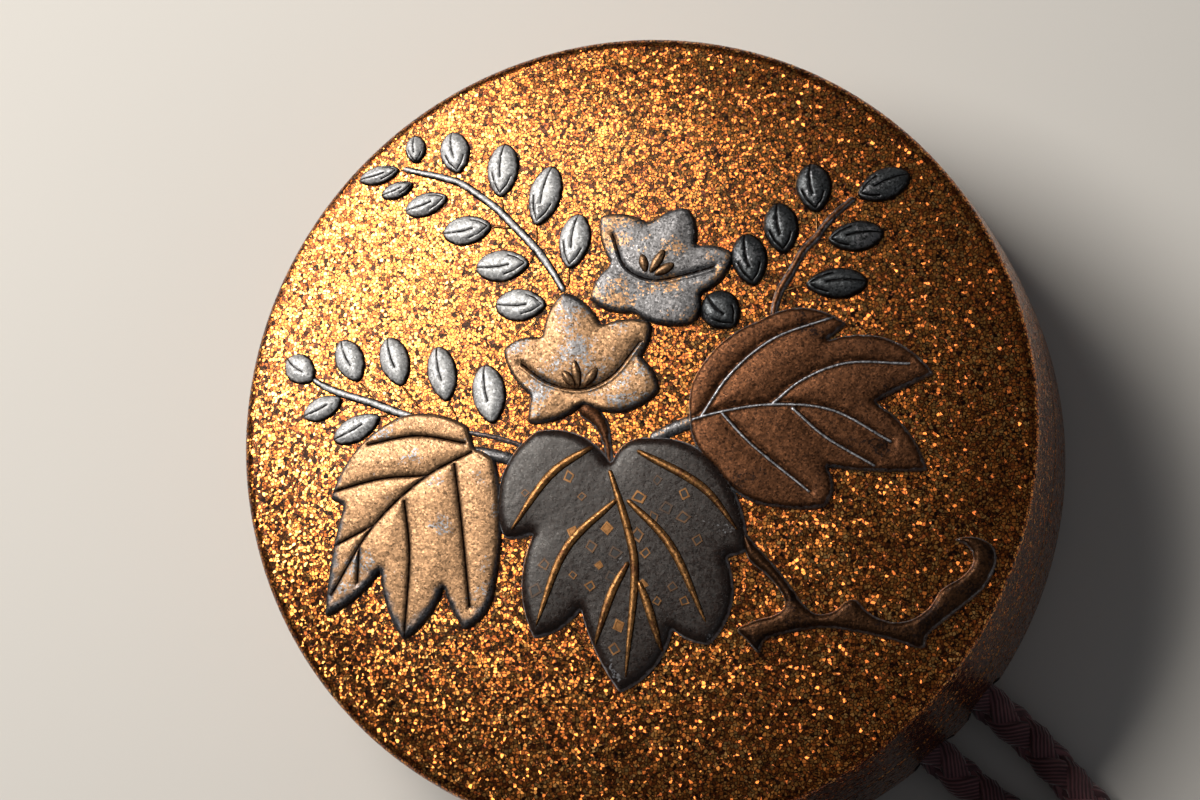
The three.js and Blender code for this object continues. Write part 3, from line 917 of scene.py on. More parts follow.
@dataclass
class Case:
    """The lid's ground and the base, in millimetres."""

    seam: float = 6.9
    hairline: float = 0.07
    lid_wall: float = 1.5
    lid_roof: float = 1.6
    base_floor: float = 1.3
    back_round: float = 2.0
    wall_swell: float = 0.1
    collar_wall: float = 1.0
    collar_top: float = 9.2
    collar_fit: float = 0.3
    collar_bevel: float = 0.1
    inner_round: float = 1.0
    edge_round: float = 0.06
    hole_radius: float = 1.3
    sides: int = 288
    crown_steps: int = 39
    ceiling_steps: int = 11
    wall_steps: int = 10
    back_steps: int = 12
    inner_steps: int = 6
    hole_sides: int = 40

    @property
    def bore(self) -> float:
        """Inner radius of the lid's wall."""
        return FACE.radius - self.lid_wall

    def wall(self, low: float, high: float) -> list[Point]:
        """The outer wall, which swells a little at half its height.

        Args:
            low: the height of its first point.
            high: the height of its last point.

        Returns:
            Its points after the first.
        """
        bottom, top = self.back_round, FACE.rim - FACE.rim_round
        heights = np.linspace(low, high, self.wall_steps + 1)
        swell = self.wall_swell * (1 - (2 * (heights - bottom) / (top - bottom) - 1) ** 2)
        return list(zip(FACE.radius + swell, heights))[1:]

    def turned(self, outside: Sequence[Point], within: Sequence[Point]) -> Shell:
        """Turns a profile on the lathe, with the second finish inside."""
        finishes = [0] * len(outside) + [1] * len(within)
        return lathe([*outside, *within], self.sides, finishes)

    def lid(self) -> Shell:
        """The lid: domed ground, rim, wall and inside.

        Returns:
            The closed shell.
        """
        bend = FACE.rim - FACE.rim_round
        crown = [(r, FACE.height_at(r)) for r in np.linspace(0, FACE.flat, self.crown_steps + 1)[:-1]]
        rim = arc((FACE.flat, bend), FACE.rim_round, 90, 0, self.wall_steps)
        wall = self.wall(bend, self.seam + self.edge_round)
        edge = [(wall[-1][0] - self.edge_round, self.seam), (self.bore, self.seam)]
        corner = self.bore - self.inner_round
        start = FACE.height_at(corner) - self.lid_roof
        inner = arc((corner, start - self.inner_round), self.inner_round, 0, 90, self.inner_steps)
        radii = np.linspace(corner, 0, self.ceiling_steps + 1)[1:]
        ceiling = [(r, FACE.height_at(r) - self.lid_roof) for r in radii]
        return self.turned([*crown, *rim, *wall], [*edge, *inner, *ceiling])

    def base(self) -> Shell:
        """The base: flat back, wall up to the hairline seam, collar and inside.

        Returns:
            The closed shell.
        """
        start = (FACE.radius - self.back_round, self.back_round)
        back = arc(start, self.back_round, -90, 0, self.back_steps)
        top = self.seam - self.hairline
        wall = self.wall(self.back_round, top - self.edge_round)
        collar = self.bore - self.collar_fit
        inner = collar - self.collar_wall
        edge = [(wall[-1][0] - self.edge_round, top), (collar, top)]
        bevel = [(collar, self.collar_top - self.collar_bevel), (collar - self.collar_bevel, self.collar_top)]
        rise = [*bevel, (inner, self.collar_top)]
        corner = (inner - self.inner_round, self.base_floor + self.inner_round)
        bend = arc(corner, self.inner_round, 0, -90, self.inner_steps)
        floor = [(inner / 2, self.base_floor), (0, self.base_floor)]
        return self.turned([(0, 0), (FACE.radius / 2, 0), *back, *wall], [*edge, *rise, *bend, *floor])

    def build(self, looks: Sequence[bpy.types.Material], holes: Sequence[tuple[Vector, Vector]]) -> None:
        """Makes the two pieces.

        Args:
            looks: the outer and the inner lacquer.
            holes: the ends of each cord hole's axis, in millimetres.
        """
        lid = make_piece("lid_ground", self.lid(), looks)
        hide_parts("lid")
        base = make_piece("base_shell", self.base(), looks)
        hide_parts("base")
        for start, end in holes:
            self.cut(base, start, end, looks)

    def cut(
        self, base: bpy.types.Object, start: Vector, end: Vector, looks: Sequence[bpy.types.Material],
    ) -> None:
        """Cuts one round hole through the base's wall.

        Args:
            base: the base.
            start: one end of the hole's axis, in millimetres.
            end: its other end.
            looks: the base's lacquers, of which the hole has the inner one.
        """
        drill = bmesh.new()
        along = end - start
        turn = along.to_track_quat("Z", "Y").to_matrix().to_4x4()
        radius = self.hole_radius * MM
        bmesh.ops.create_cone(
            drill, cap_ends=True, segments=self.hole_sides, radius1=radius, radius2=radius,
            depth=along.length * MM, matrix=Matrix.Translation((start + end) / 2 * MM) @ turn,
        )
        mesh = bpy.data.meshes.new("cord_hole")
        drill.to_mesh(mesh)
        drill.free()
        for look in looks:
            mesh.materials.append(look)
        mesh.polygons.foreach_set("material_index", [1] * len(mesh.polygons))
        cutter = add_object("cord_hole", mesh)
        boolean = base.modifiers.new("cord_hole", "BOOLEAN")
        boolean.operation = "DIFFERENCE"
        boolean.solver = "EXACT"
        boolean.object = cutter
        bpy.context.view_layer.update()
        result = bpy.data.meshes.new_from_object(base.evaluated_get(bpy.context.evaluated_depsgraph_get()))
        base.modifiers.clear()
        base.data = result
        result.set_sharp_from_angle(angle=math.radians(40))
        bpy.data.objects.remove(cutter)


# The raised design, in shares of the face's radius. A corner is x, y and the bow of the side that follows it,
# and corners run anticlockwise.

LEFT_LEAF = [
    (-0.39, -0.046, 0), (-0.408, 0.011, 0.1), (-0.581, 0.042, 0.12), (-0.762, -0.164, 0),
    (-0.727, -0.18, 0.03), (-0.772, -0.457, 0.08), (-0.628, -0.345, 0.08), (-0.567, -0.519, 0.1),
    (-0.465, -0.39, 0.05), (-0.41, -0.497, 0.15), (-0.333, -0.382, 0.05), (-0.337, -0.077, 0.1),
]
LEFT_LEAF_LINES = [
    [(-0.412, -0.033), (-0.539, -0.012), (-0.665, -0.031)],
    [(-0.395, -0.055), (-0.508, -0.112), (-0.644, -0.233), (-0.753, -0.404)],
    [(-0.508, -0.112), (-0.629, -0.118), (-0.754, -0.147)],
    [(-0.439, -0.085), (-0.419, -0.227), (-0.395, -0.44)],
    [(-0.566, -0.174), (-0.551, -0.301), (-0.562, -0.509)],
    [(-0.644, -0.233), (-0.765, -0.291)],
    [(-0.681, -0.279), (-0.685, -0.375)],
]
MIDDLE_LEAF = [
    (-0.044, -0.087, 0.16), (-0.234, -0.004, 0.13), (-0.33, -0.181, 0.08), (-0.311, -0.269, 0.1),
    (-0.238, -0.26, 0.12), (-0.234, -0.519, 0.1), (-0.117, -0.449, 0.05), (-0.019, -0.653, 0.13),
    (0.112, -0.5, 0.1), (0.204, -0.537, 0.16), (0.245, -0.322, 0.05), (0.296, -0.308, 0.07),
    (0.248, -0.133, 0.15), (0.055, -0.026, 0.2),
]
MIDDLE_LEAF_VEINS = [
    [(-0.087, -0.049), (-0.187, -0.114), (-0.29, -0.254)],
    [(-0.044, -0.107), (0.006, -0.263), (0.022, -0.347), (0.001, -0.619)],
    [(-0.023, -0.181), (-0.147, -0.298), (-0.225, -0.492)],
    [(0.007, -0.335), (-0.035, -0.413), (-0.077, -0.54)],
    [(0.032, -0.382), (0.055, -0.443), (0.09, -0.556)],
    [(0.0, -0.182), (0.106, -0.291), (0.199, -0.486)],
    [(0.023, -0.061), (0.191, -0.157), (0.276, -0.261)],
]
RIGHT_LEAF = [
    (0.149, 0.015, 0.12), (0.215, -0.105, 0.14), (0.377, -0.202, 0.05), (0.484, -0.202, 0.2),
    (0.489, -0.103, 0.03), (0.735, -0.113, 0.1), (0.605, 0.057, 0), (0.749, 0.126, 0.18),
    (0.485, 0.21, 0), (0.535, 0.252, 0.17), (0.317, 0.262, 0.11), (0.153, 0.107, 0.05),
]
RIGHT_LEAF_LINES = [
    [(0.1, -0.002), (0.228, 0.033), (0.356, 0.05), (0.501, 0.035), (0.647, -0.044)],
    [(0.182, 0.025), (0.25, 0.125), (0.354, 0.212), (0.499, 0.265)],
    [(0.36, 0.055), (0.428, 0.109), (0.532, 0.15), (0.69, 0.149)],
    [(0.233, 0.029), (0.298, -0.041), (0.449, -0.166)],
    [(0.406, 0.04), (0.484, -0.029), (0.607, -0.103)],
]
UPPER_FLOWER = [
    (-0.086, 0.535, 0.1), (-0.054, 0.411, 0.12), (-0.108, 0.322, 0.12), (0.002, 0.288, 0.12),
    (0.155, 0.258, 0.15), (0.169, 0.333, 0.15), (0.253, 0.434, 0.1), (0.156, 0.454, 0.12),
    (0.135, 0.552, 0.1), (0.039, 0.513, 0.12),
]
UPPER_FLOWER_LINES = [[(-0.056, 0.479), (-0.021, 0.395), (0.048, 0.36), (0.143, 0.373), (0.205, 0.39)]]
UPPER_STAMENS = [
    [(0.036, 0.385), (0.026, 0.432)], [(0.047, 0.383), (0.083, 0.442)], [(0.058, 0.378), (0.108, 0.406)],
]
LOWER_FLOWER = [
    (-0.174, 0.345, 0.1), (-0.224, 0.23, 0.15), (-0.325, 0.2, 0.1), (-0.249, 0.082, 0.05),
    (-0.256, 0.012, 0.1), (-0.119, 0.059, 0.19), (0.073, 0.09, 0.12), (0.024, 0.177, 0.1),
    (0.05, 0.264, 0.1), (-0.076, 0.257, 0.12),
]
LOWER_FLOWER_LINES = [[(-0.276, 0.155), (-0.211, 0.109), (-0.12, 0.089), (-0.043, 0.12), (0.029, 0.207)]]
LOWER_STAMENS = [
    [(-0.136, 0.1), (-0.168, 0.142)], [(-0.126, 0.1), (-0.139, 0.168)], [(-0.114, 0.1), (-0.08, 0.148)],
]
BRANCH_OUTLINE = [
    (0.272, -0.5), (0.295, -0.527), (0.325, -0.558), (0.341, -0.525), (0.395, -0.509), (0.479, -0.497),
    (0.564, -0.507), (0.65, -0.526), (0.721, -0.546), (0.736, -0.512), (0.78, -0.475), (0.824, -0.44),
    (0.868, -0.4), (0.896, -0.35), (0.898, -0.308), (0.874, -0.283), (0.839, -0.274), (0.8, -0.281),
    (0.828, -0.295), (0.843, -0.317), (0.84, -0.345), (0.812, -0.375), (0.768, -0.403), (0.741, -0.443),
    (0.702, -0.473), (0.655, -0.483), (0.613, -0.471), (0.583, -0.451), (0.561, -0.428), (0.535, -0.434),
    (0.507, -0.457), (0.464, -0.462), (0.432, -0.436), (0.404, -0.396), (0.369, -0.351), (0.329, -0.308),
    (0.286, -0.262), (0.296, -0.325), (0.344, -0.369), (0.379, -0.411), (0.387, -0.443), (0.365, -0.464),
    (0.312, -0.479),
]
FLOWER_STALK = [(-0.124, 0.06), (-0.071, 0.008), (-0.044, -0.1)]
SPRAY_STALK = [(-0.41, -0.004), (-0.336, -0.019), (-0.27, -0.04)]
LEFT_LEAF_STALK = [(-0.40, -0.05), (-0.348, -0.061), (-0.29, -0.076)]
RIGHT_LEAF_STALK = [(0.19, 0.026), (0.115, -0.002), (0.05, -0.032)]
SQUARES = [
    (-0.144, -0.124), (-0.112, -0.174), (-0.255, -0.162), (-0.133, -0.261), (-0.087, -0.297),
    (-0.049, -0.253), (-0.027, -0.315), (0.03, -0.27), (-0.067, -0.345), (0.05, -0.315), (-0.132, -0.367),
    (-0.088, -0.396), (-0.036, -0.373), (0.041, -0.393), (0.068, -0.226), (0.031, -0.176),
    (0.076, -0.136), (0.143, -0.17), (0.099, -0.205), (0.142, -0.229), (0.178, -0.284), (0.117, -0.398),
    (0.146, -0.434), (0.079, -0.433), (-0.016, -0.495), (-0.027, -0.549), (-0.204, -0.341),
    (-0.228, -0.402),
]


@dataclass(frozen=True)
class Bud:
    """One bud, in shares of the face's radius.

    Attributes:
        x: where its pointed root is, to the right of the face's middle.
        y: where that is above the middle.
        heading: the direction that it points in, in degrees.
        length: its length.
        width: its width.
        foot: where its stalk leaves the stem, if it has one.
    """

    x: float
    y: float
    heading: float
    length: float
    width: float
    foot: Point | None = None


UPPER_STEM = [
    (-0.172, 0.344), (-0.209, 0.404), (-0.251, 0.46), (-0.306, 0.517), (-0.35, 0.561), (-0.403, 0.601),
    (-0.447, 0.631), (-0.5, 0.65), (-0.553, 0.663), (-0.602, 0.677),
]
UPPER_BUDS = [
    Bud(-0.61, 0.675, -167, 0.108, 0.045), Bud(-0.571, 0.636, -160, 0.089, 0.04),
    Bud(-0.48, 0.598, -162, 0.115, 0.056), Bud(-0.363, 0.518, -172, 0.127, 0.07, (-0.306, 0.51)),
    Bud(-0.263, 0.42, -176, 0.138, 0.075, (-0.25, 0.447)),
    Bud(-0.217, 0.313, 179, 0.131, 0.076, (-0.188, 0.306)), Bud(-0.567, 0.688, 95, 0.075, 0.051),
    Bud(-0.455, 0.657, 101, 0.112, 0.072), Bud(-0.343, 0.591, 87, 0.14, 0.075, (-0.332, 0.552)),
    Bud(-0.248, 0.515, 76, 0.158, 0.076, (-0.247, 0.46)),
    Bud(-0.161, 0.402, 81, 0.143, 0.074, (-0.164, 0.356)),
]
LOWER_STEM = [
    (-0.545, 0.037), (-0.585, 0.048), (-0.66, 0.077), (-0.728, 0.099), (-0.787, 0.123), (-0.818, 0.143),
]
LOWER_BUDS = [
    Bud(-0.815, 0.139, 141, 0.093, 0.069), Bud(-0.695, 0.132, 115, 0.118, 0.069, (-0.652, 0.079)),
    Bud(-0.582, 0.117, 108, 0.131, 0.071, (-0.537, 0.061)),
    Bud(-0.464, 0.075, 102, 0.143, 0.07, (-0.441, 0.039)), Bud(-0.346, 0.016, 99, 0.151, 0.079),
    Bud(-0.738, 0.089, -157, 0.109, 0.056), Bud(-0.638, 0.042, -154, 0.133, 0.06, (-0.61, 0.048)),
]
RIGHT_STEM = [
    (0.354, 0.272), (0.354, 0.288), (0.368, 0.337), (0.394, 0.383), (0.423, 0.437), (0.456, 0.472),
    (0.471, 0.495), (0.504, 0.533), (0.549, 0.572),
]
RIGHT_BUDS = [
    Bud(0.554, 0.576, 23, 0.139, 0.076), Bud(0.483, 0.464, 7, 0.14, 0.072, (0.462, 0.47)),
    Bud(0.43, 0.352, 2, 0.154, 0.072, (0.368, 0.333)), Bud(0.455, 0.534, 98, 0.127, 0.083, (0.456, 0.476)),
    Bud(0.378, 0.43, 99, 0.132, 0.081, (0.39, 0.391)), Bud(0.304, 0.35, 101, 0.135, 0.083),
    Bud(0.26, 0.25, 133, 0.108, 0.09),
]


def scaled(line: Line) -> np.ndarray:
    """A line of the design in millimetres."""
    return np.array([p[:2] for p in line], float) * FACE.radius


@dataclass(frozen=True)
class Modelling:
    """How a raised figure is modelled, in millimetres.

    Attributes:
        rise: how high it stands at its edge's inner end.
        edge: how far in its rounded edge reaches.
        swell: how much higher it is away from edges and lines.
        line: how high its lines stand; below 0 they are engraved.
        line_width: their half width.
        beside: the same height for a hollow to the left of each line.
        hollow_shadow: whether the lines' tone is a painted shadow lying in that hollow, and not on the line.
        grain: the step of its mesh.
        swell_reach: how far from edges and lines the swell is reached.
        line_fade: how far from the edge the lines fade out.
    """

    rise: float
    edge: float
    swell: float = 0.0
    line: float = -0.12
    line_width: float = 0.11
    beside: float = 0.0
    hollow_shadow: bool = False
    grain: float = 0.13
    swell_reach: float = 0.7
    line_fade: float = 0.25


def border(triangles: Faces) -> list[int]:
    """The corners along the border of a patch.

    Args:
        triangles: the patch, all wound one way.

    Returns:
        Its border's corners, in order.
    """
    directed = {(f[i], f[(i + 1) % 3]) for f in triangles for i in range(3)}
    follow = {a: b for a, b in directed if (b, a) not in directed}
    start = next(iter(follow))
    loop = [start]
    while follow[loop[-1]] != start:
        loop.append(follow[loop[-1]])
    return loop


@dataclass
class Figure:
    """A raised figure inside an outline, with engraved or raised lines, in millimetres.

    Attributes:
        outline: its closed outline.
        lines: the lines on it.
        form: its modelling.
        root: how deep it reaches into the ground.
    """

    SIDE_STEPS: ClassVar[int] = 30
    FLOW_STEPS: ClassVar[int] = 12
    LINE_STEP: ClassVar[float] = 0.08
    EDGE_RINGS: ClassVar[tuple[float, ...]] = (0.06, 0.2, 0.42, 0.7, 1.0)
    LINE_TRACKS: ClassVar[tuple[float, ...]] = (-1.8, -1.1, -0.55, 0, 0.55, 1.1, 1.8)
    ROW_STEP: ClassVar[float] = 0.866
    APART: ClassVar[float] = 0.035
    FROM_OUTLINE: ClassVar[float] = 0.015

    outline: np.ndarray
    lines: list[np.ndarray]
    form: Modelling
    root: float = 0.25

    @classmethod
    def bowed(
        cls, corners: Sequence[Point], lines: Sequence[Line], form: Modelling, soft: float = 0.09,
    ) -> "Figure":
        """A figure whose outline runs through corners, each side bowed out by its own share.

        Args:
            corners: x, y and bow, in shares of the face's radius.
            lines: the lines drawn on it, in the same shares.
            form: its modelling.
            soft: how far its corners are rounded, in millimetres.

        Returns:
            The figure.
        """
        ring = []
        places = scaled(corners)
        t = np.linspace(0, 1, cls.SIDE_STEPS, endpoint=False)[:, None]
        for a, b, corner in zip(places, np.roll(places, -1, 0), corners):
            outward = np.array([b[1] - a[1], a[0] - b[0]]) * 2 * corner[2]
            control = (a + b) / 2 + outward
            ring.extend((1 - t) ** 2 * a + 2 * t * (1 - t) * control + t**2 * b)
        drawn = [curve(scaled(line), cls.LINE_STEP) for line in lines]
        return cls(cls.softened(np.array(ring), soft), drawn, form)

    @classmethod
    def flowing(cls, points: Line, form: Modelling) -> "Figure":
        """A figure whose outline flows through points without corners.

        Args:
            points: the outline, in shares of the face's radius.
            form: its modelling.

        Returns:
            The figure.
        """
        b = scaled(points)
        a, c, d = (np.roll(b, shift, 0) for shift in (1, -1, -2))
        t = np.linspace(0, 1, cls.FLOW_STEPS, endpoint=False)[:, None, None]
        flow = 2 * b + (c - a) * t + (2 * a - 5 * b + 4 * c - d) * t**2 + (3 * b - a - 3 * c + d) * t**3
        ring = flow.transpose(1, 0, 2).reshape(-1, 2) / 2
        return cls(cls.softened(ring, 0.05), [], form)

    @staticmethod
    def softened(ring: np.ndarray, soft: float, step: float = 0.07) -> np.ndarray:
        """Rounds a ring's corners.

        Args:
            ring: the ring.
            soft: the length that they are rounded over.
            step: about how far apart its new points are.

        Returns:
            The new ring.
        """
        even = spaced(np.concatenate([ring, ring[:1]]), step)[:-1]
        reach = np.arange(-8, 9)
        weights = np.exp(-0.5 * (reach * step / soft) ** 2)
        turns = [np.roll(even, -k, 0) * w for k, w in zip(reach, weights)]
        return np.sum(turns, 0) / weights.sum()

    def edge_distance(self, flat: np.ndarray) -> np.ndarray:
        """Distance of points inside from the outline."""
        return segment_distance(flat, np.concatenate([self.outline, self.outline[:1]]))

    def line_distance(self, flat: np.ndarray) -> np.ndarray:
        """Distance of points from the nearest line, if there is one."""
        apart = [segment_distance(flat, line) for line in self.lines]
        return np.min(apart, 0) if apart else np.full(len(flat), NO_LINE)

    def hollow_distance(self, flat: np.ndarray) -> np.ndarray:
        """Distance from the hollow to the left of the nearest line.

        Args:
            flat: x and y of each point.

        Returns:
            Each point's distance.
        """
        apart = np.array([segment_distance(flat, line) for line in self.lines])
        side = np.array([side_of(flat, line) for line in self.lines])
        near = apart.argmin(0)
        rows = np.arange(len(flat))
        return np.abs(apart[near, rows] * side[near, rows] - 2 * self.form.line_width)

    def height(self, flat: np.ndarray) -> np.ndarray:
        """Height of the figure above the ground.

        Args:
            flat: x and y of points inside its outline.

        Returns:
            The height at each point.
        """
        edge, line = self.edge_distance(flat), self.line_distance(flat)
        form = self.form
        dome = np.sqrt(1 - (1 - np.minimum(edge / form.edge, 1)) ** 2)
        swell = form.swell * (1 - np.exp(-edge / form.swell_reach)) * (1 - np.exp(-line / form.swell_reach))
        drawn = form.line * np.exp(-((line / form.line_width) ** 2))
        if form.beside:
            drawn += form.beside * np.exp(-((self.hollow_distance(flat) / form.line_width) ** 2))
        return form.rise * dome + swell + drawn * np.minimum(edge / form.line_fade, 1)

    def surface(self, flat: np.ndarray) -> np.ndarray:
        """Height of the figure's top in the case's frame, for what lies on it."""
        return FACE.height(flat) + self.height(flat)

    def along_features(self) -> list[np.ndarray]:
        """Points in rings along the edge and in tracks along the lines.

        Returns:
            The points of each ring and track.
        """
        form = self.form
        closed = np.roll(self.outline, -1, 0) - np.roll(self.outline, 1, 0)
        found = []
        for share in self.EDGE_RINGS:
            ring = self.outline + leftward(closed) * form.edge * share
            found.append(ring[self.edge_distance(ring) > 0.92 * form.edge * share])
        for line in self.lines:
            across = leftward(np.gradient(line, axis=0))
            found.extend(line + across * share * form.line_width for share in self.LINE_TRACKS)
        return found

    def between_features(self) -> np.ndarray:
        """Points of an even triangular grid, away from the edge and the lines.

        Returns:
            The points.
        """
        form = self.form
        low, high = self.outline.min(0), self.outline.max(0)
        rows = np.arange(low[1], high[1], form.grain * self.ROW_STEP)
        x, y = np.meshgrid(np.arange(low[0], high[0], form.grain), rows)
        x[1::2] += form.grain / 2
        grid = np.stack([x.ravel(), y.ravel()], 1)
        grid = grid[inside(grid, self.outline)]
        off_edge = self.edge_distance(grid) > form.edge * 1.1
        off_lines = self.line_distance(grid) > form.line_width * 2.2
        return grid[off_edge & off_lines]

    def grid(self) -> np.ndarray:
        """The points inside the outline that its mesh has, none of them crowded.

        Returns:
            The points.
        """
        points = np.concatenate([*self.along_features(), self.between_features()])
        points = points[inside(points, self.outline)]
        points = points[self.edge_distance(points) > self.FROM_OUTLINE]
        keys = np.unique(np.round(points / self.APART).astype(int), axis=0, return_index=True)[1]
        return points[np.sort(keys)]

    def shell(self) -> Shell:
        """The closed mesh: the modelled top, walls down into the ground, and a flat underside.

        Returns:
            The closed shell.
        """
        flat = np.concatenate([self.outline, self.grid()])
        count = len(self.outline)
        sides = [(i, (i + 1) % count) for i in range(count)]
        result = delaunay_2d_cdt([Vector(p) for p in flat.tolist()], sides, [], 1, 1e-5)
        used = sorted({i for face in result[2] for i in face})
        number = {old: new for new, old in enumerate(used)}
        triangles = [tuple(number[i] for i in face) for face in result[2]]
        corners = np.array([tuple(v) for v in result[0]])[used]
        edge = self.edge_distance(corners)
        # Painted shadow: for the flowers the lines' dark tone is laid in the hollow beside each line.
        line = self.hollow_distance(corners) if self.form.hollow_shadow else self.line_distance(corners)
        top = np.column_stack([corners, self.surface(corners)])
        loop = border(triangles)
        below = top[loop].copy()
        below[:, 2] = FACE.height(corners)[loop].min() - self.root
        shift, n = len(top), len(loop)
        walls = [(loop[i], shift + i, shift + (i + 1) % n, loop[(i + 1) % n]) for i in range(n)]
        under = tuple(shift + i for i in reversed(range(n)))
        values = {"edge": np.concatenate([edge, edge[loop]]), "line": np.concatenate([line, line[loop]])}
        return Shell(np.concatenate([top, below]), triangles + walls + [under], values)


Carrier = Callable[[np.ndarray], np.ndarray]
RIBBON_SIDES = 8
RIBBON_SUNK = 0.02
RIBBON_ROOT = 0.15


def ribbon(line: np.ndarray, widths: Sequence[float], rise: float, carrier: Carrier = FACE.height) -> Shell:
    """A raised line of half-round section with blunt ends.

    Args:
        line: its middle, in millimetres.
        widths: its width at even stations from start to end.
        rise: its height above the carrier where it is widest.
        carrier: the height of what it lies on, at places in the plane.

    Returns:
        The closed shell.
    """
    lengths = distances(line)
    width = np.interp(lengths / lengths[-1], np.linspace(0, 1, len(widths)), widths)
    close = np.minimum(np.minimum(lengths, lengths[-1] - lengths) / np.maximum(width / 2, 1e-6), 1)
    taper = np.sqrt(np.maximum(1 - (1 - close) ** 2, 0.01))
    across = leftward(np.gradient(line, axis=0))
    angles = np.linspace(0, math.pi, RIBBON_SIDES + 1)
    points, edges = [], []
    for place, side, w, t, full in zip(line, across, width, taper, width / max(widths)):
        section = place + np.outer(np.cos(angles), side) * w * t / 2
        height = carrier(section)
        lift = np.sin(angles) * rise * t * full**0.5
        points.extend(np.column_stack([section, height + lift - RIBBON_SUNK]))
        points.extend(np.column_stack([section[[-1, 0]], height[[-1, 0]] - RIBBON_ROOT]))
        edges.extend([*(w / 2 * (1 - np.abs(np.cos(angles)))), 0.0, 0.0])
    values = {"edge": np.array(edges), "line": np.full(len(edges), NO_LINE)}
    return Shell(np.array(points), tube_faces(len(line), RIBBON_SIDES + 3), values)


@dataclass(frozen=True)
class FoilSquares:
    """Small foil squares set into the middle leaf, some whole and some only outlined, in millimetres.

    Attributes:
        seed: what their random draws start from.
        half: the least and most of half their side.
        turn: the least and most of their turn, in degrees.
        worn: the least and most foil left on their borders, from 0 to 1.
        whole: the share of squares that are whole.
        uneven: how far a corner strays, as a share of half the side.
        rings: the size, height above the leaf and place on the border of each ring of corners.
    """

    seed: int = 7
    half: tuple[float, float] = (0.16, 0.27)
    turn: tuple[float, float] = (20, 70)
    worn: tuple[float, float] = (0.42, 0.62)
    whole: float = 0.2
    uneven: float = 0.25
    rings: tuple[tuple[float, float, bool], ...] = (
        (1.0, -0.1, True), (1.0, 0.035, True), (0.66, 0.035, True), (0.60, 0.02, False),
    )

    def plate(self, centre: np.ndarray, corners: np.ndarray, left: Point, carrier: Carrier) -> Shell:
        """One foil square: a thin plate.

        Args:
            centre: its middle.
            corners: its corners, about its middle.
            left: how much foil is left on its border and in its middle.
            carrier: the height of what it lies on.

        Returns:
            The closed shell.
        """
        points, values = [], []
        for share, lift, outside in self.rings:
            flat = centre + corners * share
            points.extend(np.column_stack([flat, carrier(flat) + lift]))
            values.extend([left[0] if outside else left[1]] * len(corners))
        return Shell(np.array(points), tube_faces(len(self.rings), len(corners)), {"foil": np.array(values)})

    def build(self, look: bpy.types.Material, carrier: Carrier) -> None:
        """Makes all squares as one piece.

        Args:
            look: its material.
            carrier: the height of what they lie on.
        """
        rng = np.random.default_rng(self.seed)
        square = np.array([[-1, -1], [1, -1], [1, 1], [-1, 1]], float)
        shells = []
        for place in scaled(SQUARES):
            half = rng.uniform(*self.half)
            turn = rng.uniform(*self.turn)
            border_foil = rng.uniform(*self.worn)
            middle_foil = float(rng.uniform() < self.whole)
            corners = (square + rng.uniform(-self.uneven, self.uneven, (4, 2))) * half @ spin(turn)
            shells.append(self.plate(place, corners, (max(border_foil, middle_foil), middle_foil), carrier))
        make_piece("foil_squares", join(shells), [look], 30)


class Form(Enum):
    """How the figures of the design are modelled."""

    LEAF = Modelling(rise=0.38, edge=0.24, swell=0.14, line=-0.08, line_width=0.065)
    DARK_LEAF = Modelling(rise=0.50, edge=0.48, swell=0.12)
    RIDGED_LEAF = Modelling(rise=0.38, edge=0.26, swell=0.14, line=0.07, line_width=0.07, beside=-0.06)
    BRANCH = Modelling(rise=0.40, edge=0.30, swell=0.08)
    FLOWER = Modelling(
        rise=0.38, edge=0.22, swell=0.16, line=0.05, line_width=0.075, beside=-0.10, hollow_shadow=True, grain=0.12,
    )
    BUD = Modelling(rise=0.46, edge=0.60, line=-0.09, line_width=0.045, grain=0.09)


class Ridge(Enum):
    """The widths along a raised line and its greatest height, in millimetres."""

    VEIN = ((0.22, 0.36, 0.42, 0.44, 0.42, 0.36, 0.26, 0.10), 0.19)
    STAMEN = ((0.14, 0.32, 0.46, 0.48, 0.36, 0.14), 0.26)
    STEM = ((0.34, 0.44, 0.42, 0.40, 0.38, 0.30), 0.24)
    BUD_STALK = ((0.10, 0.12, 0.12), 0.10)
    FLOWER_STALK = ((0.95, 0.75, 0.45, 0.30), 0.34)
    SPRAY_STALK = ((0.24, 0.24, 0.26), 0.18)
    LEFT_LEAF_STALK = ((0.50, 0.62, 0.60), 0.22)
    RIGHT_LEAF_STALK = ((0.62, 0.68, 0.60), 0.24)


@dataclass(frozen=True)
class Spray:
    """One spray of buds.

    Attributes:
        name: the start of its pieces' names.
        stem: the line of its stem.
        buds: its buds.
        look: the finish of its buds.
        stem_look: the finish of its stem.
        slot: the record's material slot of both; not used.
        notched: whether a small V is engraved at the root of each bud.
    """

    name: str
    stem: Line
    buds: Sequence[Bud]
    look: str
    stem_look: str
    slot: str
    notched: bool = True


SPRAYS = (
    Spray("upper_spray", UPPER_STEM, UPPER_BUDS, "silver_powder", "silver_powder", "relief_silver"),
    Spray("lower_spray", LOWER_STEM, LOWER_BUDS, "silver_powder", "silver_powder", "relief_silver", False),
    Spray("right_spray", RIGHT_STEM, RIGHT_BUDS, "pewter_powder", "brown_gold_powder", "relief_pewter"),
)


